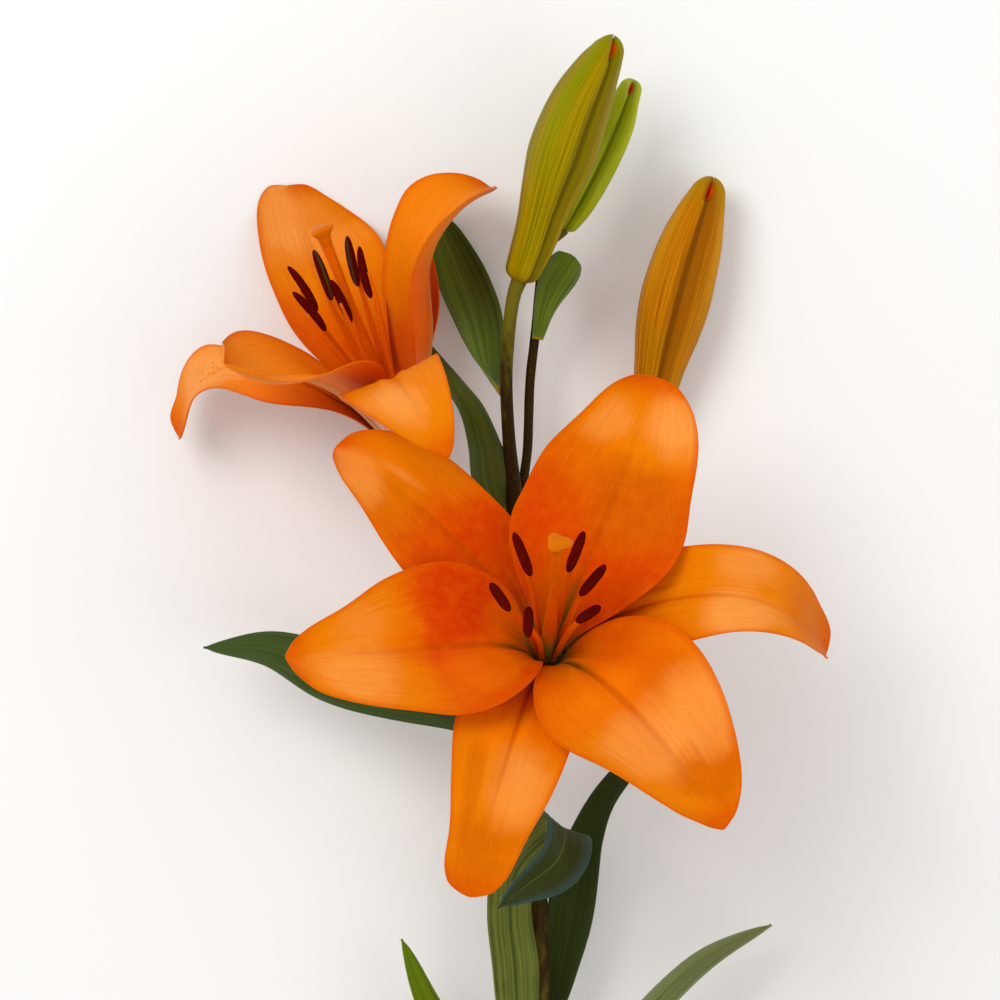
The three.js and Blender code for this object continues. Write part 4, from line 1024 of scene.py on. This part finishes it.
def anther_finish(name, colours, slit):
    """Maroon pollen as a grainy velvet. slit is how much of the bare back shows, from 0 to 1."""
    look = Finish(name, 0.95)
    grain = look.noise(look.place, 2200.0, 3.0, 0.7)
    look.bump(grain, 0.7, 0.0006)
    return look.colour(colours.anther, (dimmed(colours.anther, 0.45), (grain, 0.3, 0.75)),
                       (colours.slit, (look.x, 0.9, 0.99, slit)))


def pistil_finish(name, colours):
    """The colours of ovary, style and stigma as the tint rises, with paler streaks."""
    look = Finish(name, 0.4, subsurface=0.15, specular=0.12, gleam=TEPAL_GLEAM)
    fine = look.noise(look.stretched(look.place, (1.0, 1.0, 0.3)), 700.0, 3.0)
    look.bump(fine, 0.3, 0.0003)
    return look.colour(
        colours.ovary,
        (colours.style, (look.z, 0.2, 0.5)),
        (colours.stigma, (look.z, 0.75, 1.0)),
        (colours.glow, (fine, 0.45, 0.75, 0.3)))


def stem_finish(name, colours):
    """Green mottled with brown. The mottling follows the tint along each stalk."""
    look = Finish(name, 0.5, subsurface=0.04, specular=0.12, gleam=LEAF_GLEAM)
    blotches = look.noise(look.stretched(look.place, (1.0, 0.35, 1.0)), 420.0, 4.0, 0.65)
    specks = look.noise(look.place, 1900.0, 2.0)
    look.bump(look.add(blotches, specks), 0.25, 0.0005)
    brown = look.add(look.z, look.swing(blotches, 1.3))
    return look.colour(colours.stem_green, (colours.stem_brown, (brown, 0.15, 0.8)),
                       (colours.stem_green, (specks, 0.55, 0.75, 0.35)))


# A kind of leaf: its name, its upper and under face, how much waxy bloom lies on it, the colour of its
# rim where that isn't the bloom's, and how deep the painted shade on its right half is. The light kind is
# the leaf green lifted with painted light against the shadow that the side bloom casts on it, and the
# shade and dark kinds are the leaf green darkened with painted shade. The folded kind's blue-green rim
# is a painted sheen.
LEAF_KINDS = {
    "light": ("leaf_green_painted_light", rgb(110, 134, 46), rgb(114, 138, 68), 0.2, None, 0.6),
    "shade": ("leaf_green_painted_shade", rgb(60, 84, 34), rgb(74, 96, 48), 0.15),
    "dark": ("leaf_shade_green", rgb(42, 54, 6), rgb(60, 74, 24), 0.1),
    "grey": ("leaf_grey_green", rgb(128, 140, 84), rgb(118, 128, 72), 0.4, rgb(150, 164, 130)),
    "folded": ("leaf_olive_green", rgb(46, 52, 20), rgb(112, 118, 48), 0.6, rgb(52, 84, 86)),
    "bract": ("bract_green", rgb(104, 124, 24), rgb(100, 120, 40), 0.35),
    "fresh": ("leaf_fresh_green", rgb(104, 128, 4), rgb(104, 128, 10), 0.02),
}

# Operators

BLOOMS = (FRONT_BLOOM, SIDE_BLOOM)
OPEN_ANTHERS = ("side_bloom_anther_3", "side_bloom_anther_5")


class LILY_OT_stem(bpy.types.Operator):
    """Grow the stem and its flower stalks"""
    bl_idname = "lily.stem"
    bl_label = "Stem"

    def execute(self, context):
        finish = stem_finish("mottled_stem_skin", context.scene.lily_colours)
        add_piece("stem_and_stalks", stem_mesh(), finish, "stem")
        return {"FINISHED"}


class LILY_OT_tepals(bpy.types.Operator):
    """Grow the six tepals of each bloom"""
    bl_idname = "lily.tepals"
    bl_label = "Tepals"

    def execute(self, context):
        for bloom in BLOOMS:
            for whorl in WHORLS:
                for tepal in bloom[whorl]:
                    node = f"{bloom['name']}_{whorl}_tepal_{tepal['place']}"
                    finish = tepal_finish(f"{node}_face", context.scene.lily_colours, tepal)
                    shape = tepal_mesh(bloom, whorl, tepal, context.scene.lily_sizes)
                    add_piece(f"{node}_blade", shape, finish, node)
        return {"FINISHED"}


class LILY_OT_pistils(bpy.types.Operator):
    """Grow the ovary, style, stigma and filaments of each bloom"""
    bl_idname = "lily.pistils"
    bl_label = "Pistils and filaments"

    def execute(self, context):
        finish = pistil_finish("pistil_and_filament_skin", context.scene.lily_colours)
        for bloom in BLOOMS:
            node = f"{bloom['name']}_pistil_and_filaments"
            add_piece(f"{bloom['name']}_heart", pistil_mesh(bloom), finish, node)
        return {"FINISHED"}


class LILY_OT_anthers(bpy.types.Operator):
    """Set an anther on each filament"""
    bl_idname = "lily.anthers"
    bl_label = "Anthers"

    def execute(self, context):
        colours = context.scene.lily_colours
        closed = anther_finish("pollen_velvet", colours, 0.0)
        opened = anther_finish("pollen_velvet_open", colours, 0.9)
        for bloom in BLOOMS:
            for number, stamen in enumerate(bloom["stamens"], 1):
                node = f"{bloom['name']}_anther_{number}"
                finish = opened if node in OPEN_ANTHERS else closed
                add_piece(f"{node}_sacs", anther_mesh(bloom, stamen), finish, node)
        return {"FINISHED"}


class LILY_OT_buds(bpy.types.Operator):
    """Grow the three buds"""
    bl_idname = "lily.buds"
    bl_label = "Buds"

    def execute(self, context):
        colours = context.scene.lily_colours
        finishes = {
            "bud_large": bud_finish("olive_bud_skin", colours, colours.bud_green, colours.bud_stripe,
                                    ends=rgb(136, 130, 4), keel=rgb(128, 134, 2)),
            "bud_small": bud_finish("green_bud_skin", colours, rgb(164, 172, 14), rgb(122, 132, 2),
                                    ends=rgb(176, 184, 60), keel=rgb(176, 186, 40)),
            "bud_orange": bud_finish("orange_bud_skin", colours, colours.bud_orange, rgb(140, 76, 2),
                                     ends=rgb(156, 122, 6), keel=rgb(206, 140, 8)),
        }
        for bud in BUDS:
            name = bud["name"]
            add_piece(f"{name}_skin", bud_mesh(bud, context.scene.lily_sizes), finishes[name], name)
        return {"FINISHED"}


class LILY_OT_leaves(bpy.types.Operator):
    """Grow the leaves and the bract"""
    bl_idname = "lily.leaves"
    bl_label = "Leaves and bract"

    def execute(self, context):
        colours = context.scene.lily_colours
        finishes = {kind: leaf_finish(name, colours, *words) for kind, (name, *words) in LEAF_KINDS.items()}
        finishes["plain"] = leaf_finish("leaf_green", colours, colours.leaf, colours.leaf_pale, 0.3)
        for leaf in LEAVES:
            shape = leaf_mesh(leaf, context.scene.lily_sizes)
            finish = finishes[leaf.get("kind", "plain")]
            add_piece(f"{leaf['name']}_blade", shape, finish, leaf["name"])
        return {"FINISHED"}


CAMERA_PLACE = (0.28, 96.74, 1645.0)
CAMERA_SPAN = 280.0
CAMERA_REACH = 1600.0
CAMERA_CLIP = 20
SENSOR = 36.0
FLOOR_WIDTH = 6000
FLOOR_DROP = 0.4
ROOM_LIGHT = 0.71

# Each lamp's name, place, size, power and tint. All shine on the target, between the blooms
LAMPS = (
    ("window_light", (-700, 700, 1300), 900, 10.4, (1.0, 0.98, 0.95)),
    ("fill_light", (900, -300, 1100), 1000, 3.0, (1.0, 0.97, 0.93)),
)
LAMP_TARGET = (0, 80, 30)


def metres(*millimetres):
    return [c * METRES for c in millimetres]


class LILY_OT_stage(bpy.types.Operator):
    """Lay the pale floor, light it softly and look down on it"""
    bl_idname = "lily.stage"
    bl_label = "Floor, lights and camera"

    def execute(self, context):
        scene = context.scene
        scene.view_settings.view_transform = "Standard"
        bpy.ops.mesh.primitive_plane_add(size=FLOOR_WIDTH * METRES, location=metres(0, 0, -FLOOR_DROP))
        floor = context.object
        floor.name = "floor"
        floor.data.materials.append(Finish("pale_floor", 0.9).colour(rgb(244, 244, 243)))
        scene.world = bpy.data.worlds.new("soft_room")
        scene.world.use_nodes = True
        room = scene.world.node_tree.nodes["Background"]
        room.inputs["Color"].default_value = (1, 1, 1, 1)
        room.inputs["Strength"].default_value = ROOM_LIGHT
        for name, place, size, power, tint in LAMPS:
            light = bpy.data.lights.new(name, "AREA")
            light.shape = "DISK"
            light.size = size * METRES
            light.energy = power
            light.color = tint
            lamp = bpy.data.objects.new(name, light)
            lamp.location = metres(*place)
            towards = Vector(metres(*LAMP_TARGET)) - lamp.location
            lamp.rotation_euler = towards.to_track_quat("-Z", "Y").to_euler()
            scene.collection.objects.link(lamp)
        lens = bpy.data.cameras.new("camera")
        lens.sensor_width = SENSOR
        lens.lens = SENSOR * CAMERA_REACH / CAMERA_SPAN
        lens.clip_end = CAMERA_CLIP
        camera = bpy.data.objects.new("camera", lens)
        camera.location = metres(*(c - m for c, m in zip(CAMERA_PLACE, CENTRE_OF_FOOTPRINT)))
        scene.collection.objects.link(camera)
        scene.camera = camera
        return {"FINISHED"}


STEPS = (LILY_OT_stem, LILY_OT_tepals, LILY_OT_pistils, LILY_OT_anthers, LILY_OT_buds, LILY_OT_leaves,
         LILY_OT_stage)


class LILY_PT_panel(bpy.types.Panel):
    """The lily's sizes, colours and pieces"""
    bl_idname = "LILY_PT_panel"
    bl_label = "Asiatic lily"
    bl_space_type = "VIEW_3D"
    bl_region_type = "UI"
    bl_category = "Lily"

    def draw(self, context):
        for group in (context.scene.lily_sizes, context.scene.lily_colours):
            for name in group.bl_rna.properties.keys():
                if name not in ("rna_type", "name"):
                    self.layout.prop(group, name)
        for step in STEPS:
            self.layout.operator(step.bl_idname)


CLASSES = (LilySizes, LilyColours, *STEPS, LILY_PT_panel)


def register():
    for cls in CLASSES:
        bpy.utils.register_class(cls)
    bpy.types.Scene.lily_sizes = bpy.props.PointerProperty(type=LilySizes)
    bpy.types.Scene.lily_colours = bpy.props.PointerProperty(type=LilyColours)


def unregister():
    del bpy.types.Scene.lily_colours
    del bpy.types.Scene.lily_sizes
    for cls in reversed(CLASSES):
        bpy.utils.unregister_class(cls)


def main():
    register()
    bpy.ops.lily.stem()
    bpy.ops.lily.tepals()
    bpy.ops.lily.pistils()
    bpy.ops.lily.anthers()
    bpy.ops.lily.buds()
    bpy.ops.lily.leaves()
    bpy.ops.lily.stage()


if __name__ == "__main__":
    main()
